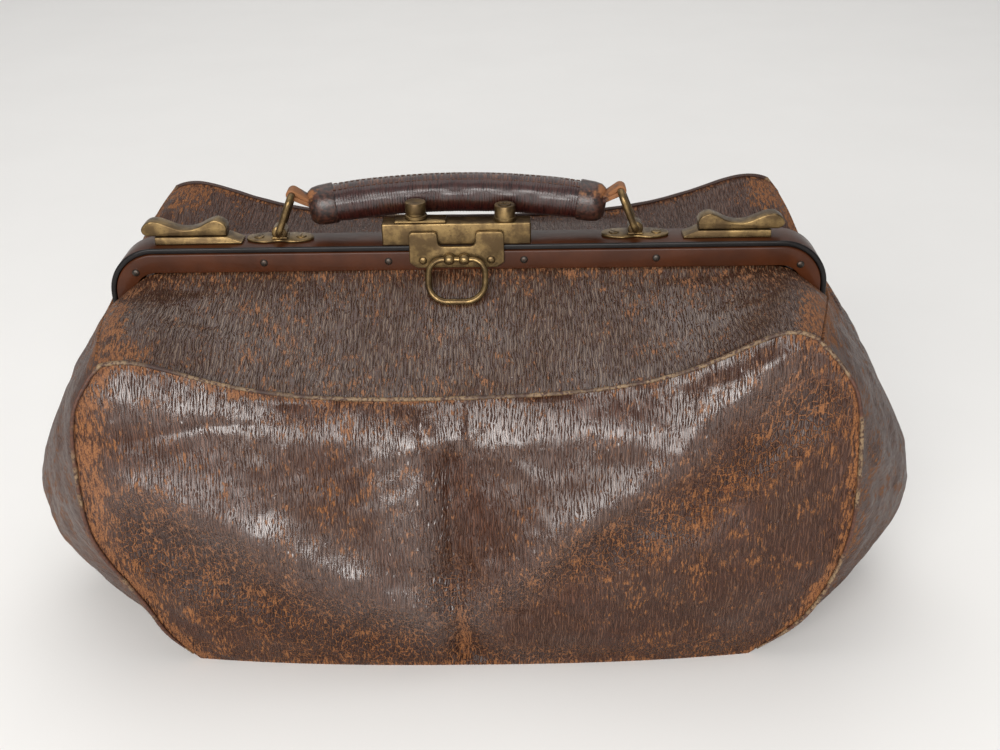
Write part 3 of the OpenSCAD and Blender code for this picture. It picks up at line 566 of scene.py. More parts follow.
SHARP_CREASES = [
    (1.8, 2.6, [(-9, 140), (-10, 104), (-7, 60), (-5, 6)]),
    (1.0, 2.4, [(-9, 120), (-24, 146)]), (0.9, 2.4, [(-9, 122), (8, 148)]),
    (1.1, 2.6, [(-8, 62), (-32, 74)]), (1.2, 2.6, [(-7, 50), (-44, 44)]),
    (1.1, 2.6, [(-7, 66), (20, 84)]), (1.2, 2.6, [(-6, 42), (34, 40)]),
    (0.9, 2.4, [(-6, 30), (-30, 22)]), (0.9, 2.4, [(-5, 24), (22, 18)]),
    (1.0, 3.0, [(-176, 150), (-140, 158), (-112, 156)]), (0.9, 2.6, [(150, 176), (166, 158)]),
    (0.9, 2.6, [(176, 150), (150, 128)]),
]
# The grain of the ends runs down towards the front and the back
GUSSET_GRAIN = math.radians(50)
# How far each lining hangs behind the leather's inner face
LINING_GAPS = {FRONT: 3.4, BACK: 2.8}


def front_lower_height(x, z, u, v):
    """Small folds that run with the lobes, gathers along the seams, and wrinkles."""
    along_lobe, across_lobe = x / 80 - np.sign(x) * z / 130, z / 26 + np.abs(x) / 60
    height = 1.2 * rumple(along_lobe, across_lobe, 3) + 0.9 * rumple(x / 30, z / 26, 5)
    height += sum(creases(x, z, SMALL_FOLDS)) - strongest(*creases(x, z, SHARP_CREASES))
    height += 0.35 * noise(x / 7, v * 3, 9) * smooth((v - 0.8) / 0.15)
    height += 0.30 * rumple(x / 9, z / 14, 8)
    return looks().wrinkle * height * faded(u, v, 0.05, 0.06, 0.05)


def panel_edge_wear(u, v):
    """Wear along the side seams, the top seam, the shoulders and the base of a lower panel; its bands
    wander in width, and they are wider on the left, where the bag was rubbed more."""
    wander = 1 + 0.45 * rumple(u * 9, v * 11, 15)
    shoulder = np.hypot(1 - np.abs(u), 1 - v)
    return bands(wander, (0.84, 1 - np.abs(u), np.where(u < 0, 0.085, 0.045)),
                 (np.where(u < 0, 0.78, 0.55), 1 - v, 0.055), (0.85, shoulder, 0.13), (0.70, v, 0.035))


def build_front_lower():
    """The big front panel with its middle fold and the two lobes that droop towards it."""
    u, v = grid_of(-1, 1, 0, 1, 300, 130)
    points = lower_panel(FRONT, u, v)
    x, z = points[..., 0], points[..., 2]
    outer = raised(points, 1, front_lower_height(x, z, u, v))
    scattered = 0.40 + 0.14 * rumple(x / 60, z / 40, 12)
    shares = {
        "wear": strongest(panel_edge_wear(u, v), scattered, *creases(x, z, FRONT_WEAR)),
        # Crackle, with painted shade in the hollows, the middle valley and along the base
        "crackle_and_shade": strongest(*creases(x, z, FRONT_CRACKLE_AND_SHADE)) + 0.18 * rumple(x / 40, z / 30, 13),
        "polish": strongest(*creases(x, z, FRONT_POLISH)) + 0.3 * rumple(x / 36, z / 30, 14),
    }
    shell("front_lower_leather", "front_lower_panel", outer, 1, shares)


def build_back_lower():
    """The back panel: the same cut as the front one, with softer folds."""
    u, v = grid_of(-1, 1, 0, 1, 220, 100)
    points = lower_panel(BACK, u, v)
    x, z = points[..., 0], points[..., 2]
    height = 1.8 * rumple(x / 55, z / 36, 21) + 0.35 * rumple(x / 9, z / 16, 25)
    height = (height + sum(creases(x, z, BACK_FOLDS))) * faded(u, v)
    outer = raised(points, -1, looks().wrinkle * height)
    shares = {"wear": strongest(panel_edge_wear(u, v), 0.30 + 0.13 * rumple(x / 60, z / 40, 31)),
              "crackle_and_shade": smooth(0.9 * rumple(x / 90, z / 70, 33))}
    shell("back_lower_leather", "back_lower_panel", outer, -1, shares)


def upper_form(side, columns, seed):
    """The grid of an upper panel with a soft roll along it, gathers below the frame and small wrinkles.
    Returns u, v, x, the raised grid and the wander of its bands of wear."""
    u, v = grid_of(-0.992, 0.992, 0, 1, columns, 60)
    points = upper_panel(side, u, v)
    x = points[..., 0]
    height = 2.2 * np.sin(math.pi * v) ** 1.5 + 0.9 * rumple(x / 20, v * 1.2, seed) * smooth(v / 0.5)
    height = (height + 1.2 * rumple(x / 45, v * 3, seed + 4)) * faded(u, v, 0.06, 0.10, 0.10)
    wander = 1 + 0.4 * rumple(u * 8, v * 3, seed + 4)
    return u, v, x, raised(points, -side, looks().wrinkle * height), wander


def build_front_upper():
    """The leather between the front seam and the opening jaw."""
    u, v, x, outer, wander = upper_form(FRONT, 260, 41)
    edges = bands(wander, (0.60, 1 - v, 0.16), (0.82, 1 - np.abs(u), 0.15), (0.50, v, 0.08))
    wear = strongest(edges, 0.41 + 0.13 * rumple(x / 50, v * 2, 47))
    # Dust and painted sheen: greyer, lighter ridge tops, strongest in the middle of the panel
    dust_and_sheen = smooth(1.5 - 1.1 * np.abs(u) + 0.25 * rumple(x / 60, v * 2, 48))
    polish = smooth(1.3 - np.abs(u)) * smooth(1.4 - v) * (0.75 + 0.3 * rumple(x / 40, v * 2, 49))
    shares = {"wear": wear, "dust_and_sheen": dust_and_sheen, "polish": polish}
    piece = shell("front_upper_leather", "front_upper_panel", outer, 1, shares, body=None)
    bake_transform(piece)


def build_back_upper():
    """The leather between the back seam and the fixed jaw, with its worn shoulders."""
    u, v, x, outer, wander = upper_form(BACK, 240, 51)
    shoulder = np.hypot((1 - np.abs(u)) / 0.17, v / 0.6)
    edges = bands(wander, (0.55, 1 - v, 0.10), (0.86, shoulder, 1), (0.80, 1 - np.abs(u), 0.06),
                  (0.60, v, 0.09))
    wear = strongest(edges, 0.33 + 0.12 * rumple(x / 50, v * 2, 57))
    shell("back_upper_leather", "back_upper_panel", outer, -1, {"wear": wear})


def build_gusset(end, side):
    """One of the two pieces of an end; they meet in a seam down its middle."""
    w_from, w_to = (-1, 0) if side == FRONT else (0, 1)
    w, v = grid_of(w_from, w_to, 0, 1, 90, 120)
    points = gusset(end, w, v)
    y, z = points[..., 1], points[..., 2]
    upright = smooth(v / 0.06) * smooth((1 - v) / 0.05)
    inside = smooth(np.minimum(w - w_from, w_to - w) / 0.12) * upright
    seed = 61 + 7 * end + 3 * side
    height = 2.0 * rumple(y / 34, z / 40, seed) + 0.6 * rumple(y / 10, z / 14, seed + 1)
    height -= 1.6 * bell(w, 0.045) * upright
    height = np.where(np.abs(w) < 0.05, np.minimum(height, 0), height)
    outer = raised(points, end, looks().wrinkle * height * inside)
    wander = 1 + 0.4 * rumple(w * 6, v * 9, seed + 3)
    edges = bands(wander, (0.75, 1 - np.abs(w), 0.06), (0.60, w, 0.05), (0.80, v, 0.04),
                  (0.85, 1 - v, 0.08))
    shares = {"wear": strongest(edges, 0.44 + 0.15 * rumple(y / 30, z / 40, seed + 2)),
              # Darker towards the bottom of the gusset
              "crackle_and_shade": 0.6 * smooth(1.2 - v / 0.45 + 0.4 * rumple(y / 30, z / 40, seed + 4)),
              # A little of the dusty tint and painted sheen over the whole gusset
              "dust_and_sheen": np.full_like(w, 0.15)}
    node = f"gusset_{END_NAMES[end]}_{SIDE_NAMES[side]}"
    piece = shell(node + "_leather", node, outer, end, shares, "bag" if side == BACK else None,
                  grain_turn=-side * GUSSET_GRAIN)
    if side == FRONT:
        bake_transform(piece)


def build_bottom():
    """The stiff bottom leather: the outline of the base drawn in a little, whose edge shows along
    the floor."""
    u = np.linspace(-1, 1, 40)
    floor = np.zeros_like(u)
    parts = [lower_panel(FRONT, u, floor), gusset(RIGHT, u, floor),
             lower_panel(BACK, -u, floor), gusset(LEFT, -u, floor)]
    outline = 0.985 * np.concatenate([part[:-1, :2] for part in parts])
    points, faces = prism(outline, "z", 0, sizes().leather, 0.6)
    piece = add_object("bottom_leather", (points, faces), "bag_leather", "bag", "bottom_panel")
    set_share(piece, "wear", np.full(len(points), 0.45))
    set_uv(piece, points[:, :2])


def build_lining(side):
    """The cloth that hangs inside the leather of the front or the back."""
    u, v = grid_of(-0.94, 0.94, 0.06, 0.94, 80, 40)
    points = lower_panel(side, u, v)
    outer = raised(points, -side, 0.25 * rumple(points[..., 0] / 22, points[..., 2] / 40, 71 + side))
    node = "lining_" + SIDE_NAMES[side]
    shell(node + "_cloth", node, outer, -side, {}, material="lining", thickness=0.8,
          gap=sizes().leather + LINING_GAPS[side])


# Seams

PIPING_OUT, PIPING_RADIUS, PIPING_SIDES = 1.1, 1.15, 12
# Wear of the piping up the side seams and along the top seam
UPRIGHT_WEAR, LEVEL_WEAR = 0.95, {FRONT: 0.66, BACK: 0.30}


def piping_path(side):
    """The piping's way up one side seam, along the top seam and down the other side seam."""
    v = np.linspace(0.04, 0.94, 60)
    out = PIPING_OUT * mix(0.3, 1, smooth((v - 0.02) / 0.15))[:, None]
    seams = []
    for end in (LEFT, RIGHT):
        lean = np.column_stack([np.full(60, 0.5 * end), np.full(60, side * 0.9), 0.5 * v**8])
        seams.append(side_seam(side, end, v) + out * unit(lean))
    u = np.linspace(-0.98, 0.98, 150)
    top = lower_panel(side, u, np.ones_like(u))
    lean = np.column_stack([0.5 * u * np.abs(u) ** 7, np.full(150, side * 0.8), np.full(150, 0.6)])
    return np.concatenate([seams[0], top + PIPING_OUT * unit(lean), seams[1][::-1]])


def build_piping(side):
    """The thin leather cord sewn into a seam, thinner towards its ends, most worn where it is upright."""
    path = piping_path(side)
    travelled = travel(path)
    from_end = np.minimum(travelled, travelled[-1] - travelled)
    still = np.zeros_like(travelled)
    radius = PIPING_RADIUS + 0.12 * noise(travelled / 9, still, 81 + side)
    radius = radius * mix(0.35, 1, smooth(from_end / 25))
    node = "piping_" + SIDE_NAMES[side]
    piece = add_object(node + "_cord", tube(path, radius[:, None], PIPING_SIDES), "piping", "bag", node)
    ahead = np.gradient(path, axis=0)
    level = np.abs(ahead[:, 0]) / np.linalg.norm(ahead, axis=1)
    wear = mix(UPRIGHT_WEAR, LEVEL_WEAR[side], smooth((level - 0.5) / 0.4))
    wear = wear + 0.25 * noise(travelled / 25, still, 84)
    set_share(piece, "wear", np.repeat(wear, PIPING_SIDES))
    around = np.tile(np.arange(PIPING_SIDES), len(path))
    set_uv(piece, np.column_stack([np.repeat(travelled, PIPING_SIDES), around]))


# The painted frame

LEG_FOOT, HINGE_Z, EAR_RADIUS = 171, 178, 6.5
RIM_WIDTH, PLAY, SHEET = 3, 0.3, 1.4
NEST = RIM_WIDTH + PLAY
FRONT_Y, REAR_Y, FLANGE_Y = -9, 14, 2


def arch(inset):
    """The (x, z) outline of the frame drawn in by an inset: leg, corner, top, corner and leg."""
    half, top, corner = sizes().frame_half, sizes().frame_top, sizes().frame_corner
    turn = np.linspace(0, math.pi / 2, 20)[1:]
    reach = corner - inset
    leg = [(half - inset, z) for z in np.linspace(LEG_FOOT, top - corner, 8)]
    bend = [(half - corner + reach * math.cos(t), top - corner + reach * math.sin(t)) for t in turn]
    flat = [(x, top - inset) for x in np.linspace(corner - half, half - corner, 80)[1:-1]]
    right = np.array(leg + bend)
    return np.concatenate([right * [-1, 1], flat, right[::-1]])


def swept_arch(profile):
    """A profile of (inset, y) swept along the legs, corners and top of the frame."""
    columns = [np.insert(arch(inset), 1, y, axis=1) for inset, y in profile]
    return joined_rings(np.stack(columns, axis=1))


def add_jaw(node, mesh, body, rim_y):
    """Makes a jaw with paint on it, black where it lies in front of rim_y, and wear in noisy patches."""
    points, faces = mesh
    piece = add_object(node + "_painted", mesh, "frame_paint", body, node)
    # Faces at the front of the fixed jaw get a near-black finish: a painted shade along its edge
    piece.data.materials.append(finish("frame_rim_shade"))
    middles = np.array([np.mean([points[corner][1] for corner in face]) for face in faces])
    piece.data.polygons.foreach_set("material_index", (middles < rim_y).astype(np.int32))
    x, z = points[:, 0], points[:, 2]
    set_share(piece, "wear", 0.25 + 0.25 * noise(x / 12, z / 12, 91) + 0.15 * noise(x / 3, z / 3, 92))


def build_rear_jaw():
    """The fixed jaw: a channel with a rim at its front, a flat top and a face strip at its back."""
    rim, inner, strip = FRONT_Y + PLAY, REAR_Y - SHEET, sizes().strip
    profile = filleted(
        [(0, rim), (0, REAR_Y), (strip, REAR_Y), (strip, inner), (SHEET, inner), (SHEET, rim + SHEET),
         (RIM_WIDTH, rim + SHEET), (RIM_WIDTH, rim)],
        [0.9, 0.9, 0.5, 0.5, 0.3, 0.3, 0.45, 0.45], 3)
    add_jaw("rear_jaw", swept_arch(profile), "bag", rim + SHEET + 0.4)


def build_front_jaw():
    """The opening jaw: an angle of a flange and a face strip, with an ear at each hinge pin."""
    strip = sizes().strip
    profile = filleted(
        [(NEST, FRONT_Y), (NEST, FLANGE_Y), (NEST + SHEET, FLANGE_Y), (NEST + SHEET, FRONT_Y + SHEET),
         (strip, FRONT_Y + SHEET), (strip, FRONT_Y)],
        [1.1, 0.4, 0.4, 0.3, 0.4, 0.5], 3)
    ear = EAR_RADIUS * round_rays(40) + [0, HINGE_Z]
    inner = sizes().frame_half - NEST - SHEET
    ears = [prism(ear, "x", start, start + SHEET, 0.3) for start in (inner, -inner - SHEET)]
    add_jaw("front_jaw", gathered([swept_arch(profile)] + ears), "opening_jaw", rim_y=-99)


RIVET_X = (-187, -114, -44, 32, 106, 187)
RIVET_DROP, CORNER_RIVET_DROP = 9, 14
# Radius and depth below the seat of a rivet's head, from its crown to its rim
DOME = [(0.05, -1.0), (0.9, -0.93), (1.6, -0.70), (2.1, -0.35), (2.3, 0.0), (2.3, 0.1)]


def domed(x, y, z, way, scale=1.0):
    """A low domed rivet head at a place, facing along Y by way."""
    return turned([(r * scale, -h * scale) for r, h in reversed(DOME)], (x, y, z), (0, way, 0), 24)


def build_frame_rivets(side):
    """Six small domed rivets through a face strip."""
    y = FRONT_Y if side == FRONT else REAR_Y
    drops = [RIVET_DROP if abs(x) < 150 else CORNER_RIVET_DROP for x in RIVET_X]
    heads = [domed(x, y, sizes().frame_top - drop, side, 0.95) for x, drop in zip(RIVET_X, drops)]
    node = "front_frame_rivets" if side == FRONT else "rear_frame_rivets"
    body = "opening_jaw" if side == FRONT else "bag"
    add_object(node + "_domed", gathered(heads), "steel", body, node)


# The lock

CASE_LENGTH, CASE_DEPTH, CASE_HEIGHT = 83, 12, 12.5
CASE_FRONT = -8
CASE_MID_Y = CASE_FRONT + CASE_DEPTH / 2
BUTTON_X, KEY_X = -28, 21.5
BASE_LEFT, BASE_RIGHT, BASE_HALF, BASE_PLATE_HEIGHT = 12, 17, 5.2, 1.6
PLUG_RADIUS, PLUG_RISE, PLUG_FOOT = 3.6, 9.4, 3
SLOT_HALF, SLOT_SIDE, SLOT_EYE, SLOT_DEPTH = 2.6, 0.6, 1.1, 5
BUTTON_PROFILE = [(1.6, -9), (1.6, 0), (5.9, 0), (6.2, 0.3), (6.2, 1.7), (5.8, 2.0), (5.2, 2.2), (5.2, 3.0),
                  (5.6, 3.2), (5.8, 3.5), (5.8, 8.8), (5.6, 9.2), (5.1, 9.4), (3.0, 9.5)]
COLLAR_PROFILE = [(3.66, 0), (3.66, 8.8), (4.0, 9.0), (5.2, 9.0), (5.6, 8.8), (5.8, 8.4),
                  (5.8, 2.3), (6.2, 1.9), (6.2, 0.3), (6.0, 0)]


def case_top():
    """Height of the top of the lock case."""
    return sizes().frame_top + CASE_HEIGHT


def bar_edge(ray, half_length, half_width):
    """How far each ray runs from the middle of a bar to its side."""
    reach = np.array([half_length, half_width]) / np.maximum(np.abs(ray), 1e-6)
    return reach.min(axis=1, keepdims=True)


def build_lock_case():
    """A brass bar with rounded edges that stands on the frame."""
    left = sizes().lock_x - CASE_LENGTH / 2
    outline = rectangle(left, CASE_FRONT, left + CASE_LENGTH, CASE_FRONT + CASE_DEPTH, 1.0)
    brass("lock_case", prism(outline, "z", sizes().frame_top, case_top(), 0.7))


def build_slide_base():
    """The tapered plate under the sliding button."""
    outline = rectangle(BUTTON_X - BASE_LEFT, CASE_MID_Y - BASE_HALF, BUTTON_X + BASE_RIGHT,
                        CASE_MID_Y + BASE_HALF, 0.8)
    brass("slide_base", prism(outline, "z", case_top() - 0.2, case_top() + BASE_PLATE_HEIGHT, 1.1))


def build_slide_button():
    """The turned button: a foot, a narrow neck and a knob with rounded edges."""
    foot = case_top() + BASE_PLATE_HEIGHT + PLAY
    brass("slide_button", turned(BUTTON_PROFILE, (BUTTON_X, CASE_MID_Y, foot), sides=56), "bolt")


def build_key_collar():
    """The collar round the key plug."""
    brass("key_collar", turned(COLLAR_PROFILE, (KEY_X, CASE_MID_Y, case_top()), sides=56, bored=True))


def build_key_plug():
    """The plug: a turned piece whose top is sunk along a slot with a round eye.

    The slot is the union of a bar and a disc; seen from its middle its edge stands at the
    larger of the disc's radius and the distance to the bar's sides."""
    ray = round_rays(96)
    slot = ray * np.maximum(bar_edge(ray, SLOT_HALF, SLOT_SIDE), SLOT_EYE)
    top = case_top() + PLUG_RISE
    levels = [(ray * PLUG_RADIUS, sizes().frame_top + PLUG_FOOT), (ray * PLUG_RADIUS, top - 0.3),
              (ray * (PLUG_RADIUS - 0.3), top), (slot * 1.06, top), (slot, top - 0.15),
              (slot, top - SLOT_DEPTH)]
    brass("key_plug", stacked(levels, (KEY_X, CASE_MID_Y)), "plug")


# The hasp and the drop ring

HASP_WIDTH, HASP_Y, HASP_THICK = 53, -11, 2
NOTCH_WIDTH, HASP_RIVET_X, KNUCKLE_X, BAR_Y = 21, 19, 4.2, -13.6
# Heights above the frame's top
HASP_FOOT, HASP_EAR_TOP, HASP_RIVET_Z, BAR_Z = -12.5, 8.5, -8, -6.5
KNUCKLE = [(0.3, -3.3), (1.8, -2.9), (2.9, -1.7), (3.3, 0), (2.9, 1.7), (1.8, 2.9), (0.3, 3.3)]
DROP_HALF, DROP_LENGTH, DROP_BEND, DROP_LOW_BEND = 15.8, 24, 8, 11
DROP_THIN, DROP_THICK = 1.5, 1.8
DROP_LEAN = math.radians(36)


def build_hasp_plate():
    """A plate with two ears, a notch between them and cut lower corners, and two round knuckles."""
    middle, top = sizes().lock_x, sizes().frame_top
    half, notch = HASP_WIDTH / 2, NOTCH_WIDTH / 2
    right = [(half - 4, HASP_FOOT), (half, HASP_FOOT + 3), (half, HASP_EAR_TOP), (notch, HASP_EAR_TOP),
             (notch, 0)]
    radii = [1.5, 1.5, 2.2, 2.2, 3.0]
    corners = right + [(-x, z) for x, z in reversed(right)]
    outline = filleted([(middle + x, top + z) for x, z in corners], radii + radii[::-1], 5)
    parts = [prism(outline, "y", HASP_Y, HASP_Y + HASP_THICK, 0.55)]
    for x in (middle - KNUCKLE_X, middle + KNUCKLE_X):
        parts.append(turned(KNUCKLE, (x, BAR_Y + 0.3, top + BAR_Z), (1, 0, 0), 28))
        parts.append(turned([(2.4, 0), (2.2, 2.6)], (x, HASP_Y + 0.3, top + BAR_Z), (0, -1, 0), 24))
    brass("hasp_plate", gathered(parts), "opening_jaw")


def build_hasp_rivets():
    """The two domed rivets of the hasp plate."""
    places = [sizes().lock_x + x for x in (-HASP_RIVET_X, HASP_RIVET_X)]
    heads = [domed(x, HASP_Y, sizes().frame_top + HASP_RIVET_Z, -1, 1.05) for x in places]
    brass("hasp_rivets", gathered(heads), "opening_jaw")


def build_drop_ring():
    """An oval ring of round wire that hangs from its bar and leans out over the leather."""
    corners = [(-DROP_HALF, -DROP_LENGTH), (DROP_HALF, -DROP_LENGTH), (DROP_HALF, 0), (-DROP_HALF, 0)]
    outline = filleted(corners, [DROP_LOW_BEND, DROP_LOW_BEND, DROP_BEND, DROP_BEND], 14)
    spans = []
    for a, b in zip(outline, np.roll(outline, -1, axis=0)):
        steps = 6 if np.linalg.norm(b - a) > 3 else 1
        spans += [mix(a, b, k / steps) for k in range(steps)]
    across, down = np.array(spans).T
    path = np.column_stack([sizes().lock_x + across, BAR_Y + down * math.sin(DROP_LEAN),
                            sizes().frame_top + BAR_Z + down * math.cos(DROP_LEAN)])
    radius = mix(DROP_THIN, DROP_THICK, smooth(-down / 10))
    brass("drop_ring", tube(path, radius[:, None], closed=True), "pull_ring")


# The catches

CATCH_MIDDLE, CATCH_X, CATCH_Y = -2.5, 148.5, 2.5
CATCH_LENGTH, CATCH_HEIGHT, CATCH_DEPTH = 49, 4.6, 11
SLIDE_WIDTH, SLIDE_START, RUNNER_HALF = 9, -16.5, 2.2
SLIDE_WAVE = [(0, 4.4), (1.5, 7.0), (6, 9.1), (11, 7.6), (16, 5.0), (22, 3.6), (28, 4.2), (34, 6.6),
              (39, 8.4), (43.5, 8.4), (47, 6.2), (48.3, 3.6), (47.6, 1.4), (45.4, 0.1)]


def catch_outline(points, end, foot):
    """An outline drawn above a foot for the right catch, turned to its end and kept anticlockwise."""
    points = np.array(points, float) + [CATCH_X, foot]
    points[:, 0] = CATCH_MIDDLE + end * points[:, 0]
    return points if end == RIGHT else points[::-1]


def build_catch_base(end):
    """A brass bar with a tapered inner end that stands on the frame."""
    half = CATCH_LENGTH / 2
    corners = [(-half, 0), (half, 0), (half, CATCH_HEIGHT), (-half + 8, CATCH_HEIGHT), (-half + 1, 1.6),
               (-half, 1.3)]
    outline = filleted(catch_outline(corners, end, sizes().frame_top), 0.25, 3)
    y = CATCH_Y - CATCH_DEPTH / 2
    brass("catch_base_" + END_NAMES[end], prism(outline, "y", y, y + CATCH_DEPTH, 0.5))


def build_catch_slide(end):
    """The thumb piece: a wave with two crests and a dip, and a nose that overhangs the base."""
    top = sizes().frame_top
    wave = along(SLIDE_WAVE, np.linspace(0, 1, 90))
    thumb = np.concatenate([[(0.4, 0.0), (45.0, 0.0)], wave[::-1]])
    thumb = np.maximum(thumb, [-1, 0]) + [SLIDE_START, 0]
    runner = [(SLIDE_START + x, z) for x, z in ((2, 2), (28, 2), (28, 5.2), (2, 5.2))]
    y = CATCH_Y - SLIDE_WIDTH / 2
    parts = [prism(catch_outline(thumb, end, top + CATCH_HEIGHT + PLAY), "y", y, y + SLIDE_WIDTH, 0.7),
             prism(catch_outline(runner, end, top), "y", CATCH_Y - RUNNER_HALF, CATCH_Y + RUNNER_HALF, 0.2)]
    brass("catch_slide_" + END_NAMES[end], gathered(parts), END_NAMES[end] + "_catch")


# The handle

RING_SPAN, RING_HEIGHT, RING_DEPTH, RING_BEND = 201, 24, 20, 5
RING_LEAN = math.radians(22)
PLATE_THICK, PLATE_Y, HANDLE_Y, SCREW_X = 1.5, 5, 6, 12
WIRE = 2
# How high a ring's foot and its top bar stand above the frame's top, and how far out the bar stands
FOOT_RISE = PLATE_THICK + 2.9
LOOP_X = RING_SPAN / 2 - RING_HEIGHT * math.sin(RING_LEAN)
LOOP_RISE = FOOT_RISE + RING_HEIGHT * math.cos(RING_LEAN)
GRIP_HALF, GRIP_RISE = LOOP_X - 11, 8
GRIP_TILT = math.radians(48)
GRIP_END_Y, GRIP_END_RISE = HANDLE_Y + 6.2, LOOP_RISE - 10
ARC_RADIUS = (GRIP_HALF**2 + GRIP_RISE**2) / (2 * GRIP_RISE)
ARC_HALF = math.asin(GRIP_HALF / ARC_RADIUS)
PLATE_HALF, PLATE_LOBE, PLATE_WAIST, WAIST_WIDTH = 19, 8.0, 2.6, 5.0
SADDLE_HALF, SADDLE_FRONT, SADDLE_BACK, SADDLE_FOOT = 4.6, -3.5, 5.5, 2.2
SADDLE = [(2.06, SADDLE_FRONT), (2.06, SADDLE_BACK), (3.6, 5.4), (4.2, 4.9), (4.3, 1.0), (4.2, -2.9),
          (3.6, -3.4)]
# Reach inward along the roll, how much thinner the collar is there, and how flat
COLLAR = [(12.0, 0.4, 1), (11.2, 0.15, 1), (4.0, 0.4, 1), (0.0, 1.1, 0.97), (-2.2, 2.7, 0.86),
          (-3.4, 4.3, 0.72)]
STRAP_HALF, STRAP_THICK, STRAP_HOLD = 4.6, 2.5, 3.2
STRAP_FROM, STRAP_TO = math.radians(118), math.radians(-100)
STITCH_PITCH, STITCH_LENGTH, STITCH_RADIUS = 3.2, 2.0, 0.33
# Pitch of the roll's ridges, height of its seam, and how far its skin lies inside the roll's radius
RIDGE_PITCH, SEAM_HEIGHT, SKIN_INSET = 1.5, 1.1, 0.75


def plate_middle(end):
    """Where the plate and the ring of one end stand along the frame."""
    return sizes().lock_x + end * RING_SPAN / 2


def build_handle_plate(end):
    """A plate of two round lobes, drawn in at its waist, with a saddle over the ring's foot."""
    middle, top = plate_middle(end), sizes().frame_top
    across, deep = round_rays(120).T
    x = PLATE_HALF * across
    y = (PLATE_LOBE - PLATE_WAIST * bell(x, WAIST_WIDTH)) * np.sign(deep) * np.abs(deep) ** 0.75
    outline = np.column_stack([middle + x, PLATE_Y + y])
    foot = rectangle(middle - SADDLE_HALF, PLATE_Y + SADDLE_FRONT, middle + SADDLE_HALF,
                     PLATE_Y + SADDLE_BACK, 0.8)
    parts = [prism(outline, "z", top, top + PLATE_THICK, 0.6),
             turned(SADDLE, (middle, PLATE_Y, top + FOOT_RISE), (0, 1, 0), 40, (0, 0, 1), bored=True),
             prism(foot, "z", top, top + SADDLE_FOOT, 0.3)]
    brass("handle_plate_" + END_NAMES[end], gathered(parts))


def build_handle_screws():
    """The slotted screws of the plates: the slot is sunk in the head across its middle."""
    top = sizes().frame_top + PLATE_THICK
    ray = round_rays(64)
    bar = ray * bar_edge(ray, 2.5, 0.3)
    levels = [(ray * 2.9, top - 0.6), (ray * 2.9, top + 0.3), (ray * 2.6, top + 0.55),
              (bar, top + 0.62), (bar * 0.98, top + 0.1)]
    places = [plate_middle(end) + x for end in (LEFT, RIGHT) for x in (-SCREW_X, SCREW_X)]
    heads = []
    for number, place in enumerate(places):
        turn = turning(0.6 + 0.9 * number)
        heads.append(stacked([(flat @ turn, height) for flat, height in levels], (place, PLATE_Y)))
    brass("handle_screws", gathered(heads))


def build_handle_ring(end):
    """A ring of round wire: a tall loop with rounded corners that leans towards the other ring."""
    half = RING_DEPTH / 2
    corners = [(-half, 0), (half, 0), (half, RING_HEIGHT), (-half, RING_HEIGHT)]
    across, up = filleted(corners, RING_BEND, 10).T
    path = np.column_stack([plate_middle(end) - end * up * math.sin(RING_LEAN), HANDLE_Y + across,
                            sizes().frame_top + FOOT_RISE + up * math.cos(RING_LEAN)])
    brass("handle_ring_" + END_NAMES[end], tube(path, WIRE, closed=True), END_NAMES[end] + "_ring")


def grip_point(angle):
    """A point of the roll's arc, which bows up and back between its ends."""
    rise = ARC_RADIUS * (np.cos(angle) - 1) + GRIP_RISE
    return np.stack([sizes().lock_x + ARC_RADIUS * np.sin(angle), GRIP_END_Y + rise * math.sin(GRIP_TILT),
                     sizes().frame_top + GRIP_END_RISE + rise * math.cos(GRIP_TILT)], -1)


def build_handle_cover():
    """The leather roll: fine ridges across it, a raised seam along its upper back and soft ends."""
    sides = 48
    share = np.linspace(-1, 1, 520)[:, None]
    path = grip_point(share[:, 0] * ARC_HALF)
    travelled = share * GRIP_HALF
    angle = np.linspace(0, 2 * math.pi, sides, endpoint=False)[None, :]
    spoke = tube_rings(path, 1.0, sides) - path[:, None, :]
    from_seam = np.arccos(np.clip(spoke @ unit(np.array([0.0, -0.30, 1.0])), -1, 1))
    ridge_phase = travelled * 2 * math.pi / RIDGE_PITCH + 2.2 * noise(travelled / 7, angle * 1.2, 101)
    ridges = 0.16 * np.sin(ridge_phase) * (0.6 + 0.4 * noise(travelled / 5, angle, 102))
    taper = 1 - 0.10 * smooth((np.abs(share) - 0.72) / 0.28)
    end_round = np.sqrt(np.clip(1 - ((np.abs(share) - 0.985) / 0.015).clip(0, 1) ** 2, 0.25, 1))
    seam = SEAM_HEIGHT * bell(from_seam, 0.16)
    radius = (sizes().grip - SKIN_INSET) * taper * end_round + ridges + seam * end_round
    radius = radius + 0.25 * rumple(travelled / 14, angle, 104)
    mesh = joined_rings(path[:, None, :] + spoke * radius[..., None])
    piece = add_object("handle_cover_leather", mesh, "handle_leather", "handle", "handle_cover")
    end_wear = 0.8 * smooth((np.abs(share) - 0.93) / 0.07)
    set_share(piece, "wear", np.maximum(0.5 * bell(from_seam, 0.2), end_wear).reshape(-1))
    around = angle / 10 * UV_UNIT
    set_uv(piece, np.stack(np.broadcast_arrays(travelled, around), -1).reshape(-1, 2))


def build_handle_stitches():
    """A row of short threads on each side of the roll's raised seam, laid at an even pitch."""
    path = grip_point(np.linspace(-0.9, 0.9, 240) * ARC_HALF)
    travelled = travel(path)
    threads = []
    for lean in (-0.60, 0.02):
        offset = unit(np.array([0.0, lean, 1.0])) * (sizes().grip - 0.60)
        for start in np.arange(STITCH_PITCH, travelled[-1] - STITCH_PITCH, STITCH_PITCH):
            stops = start + np.array([0, STITCH_LENGTH / 2, STITCH_LENGTH])
            line = np.column_stack([np.interp(stops, travelled, path[:, axis]) for axis in range(3)])
            threads.append(tube(line + offset, STITCH_RADIUS, 6))
    add_object("handle_stitches", gathered(threads), "thread", "handle")


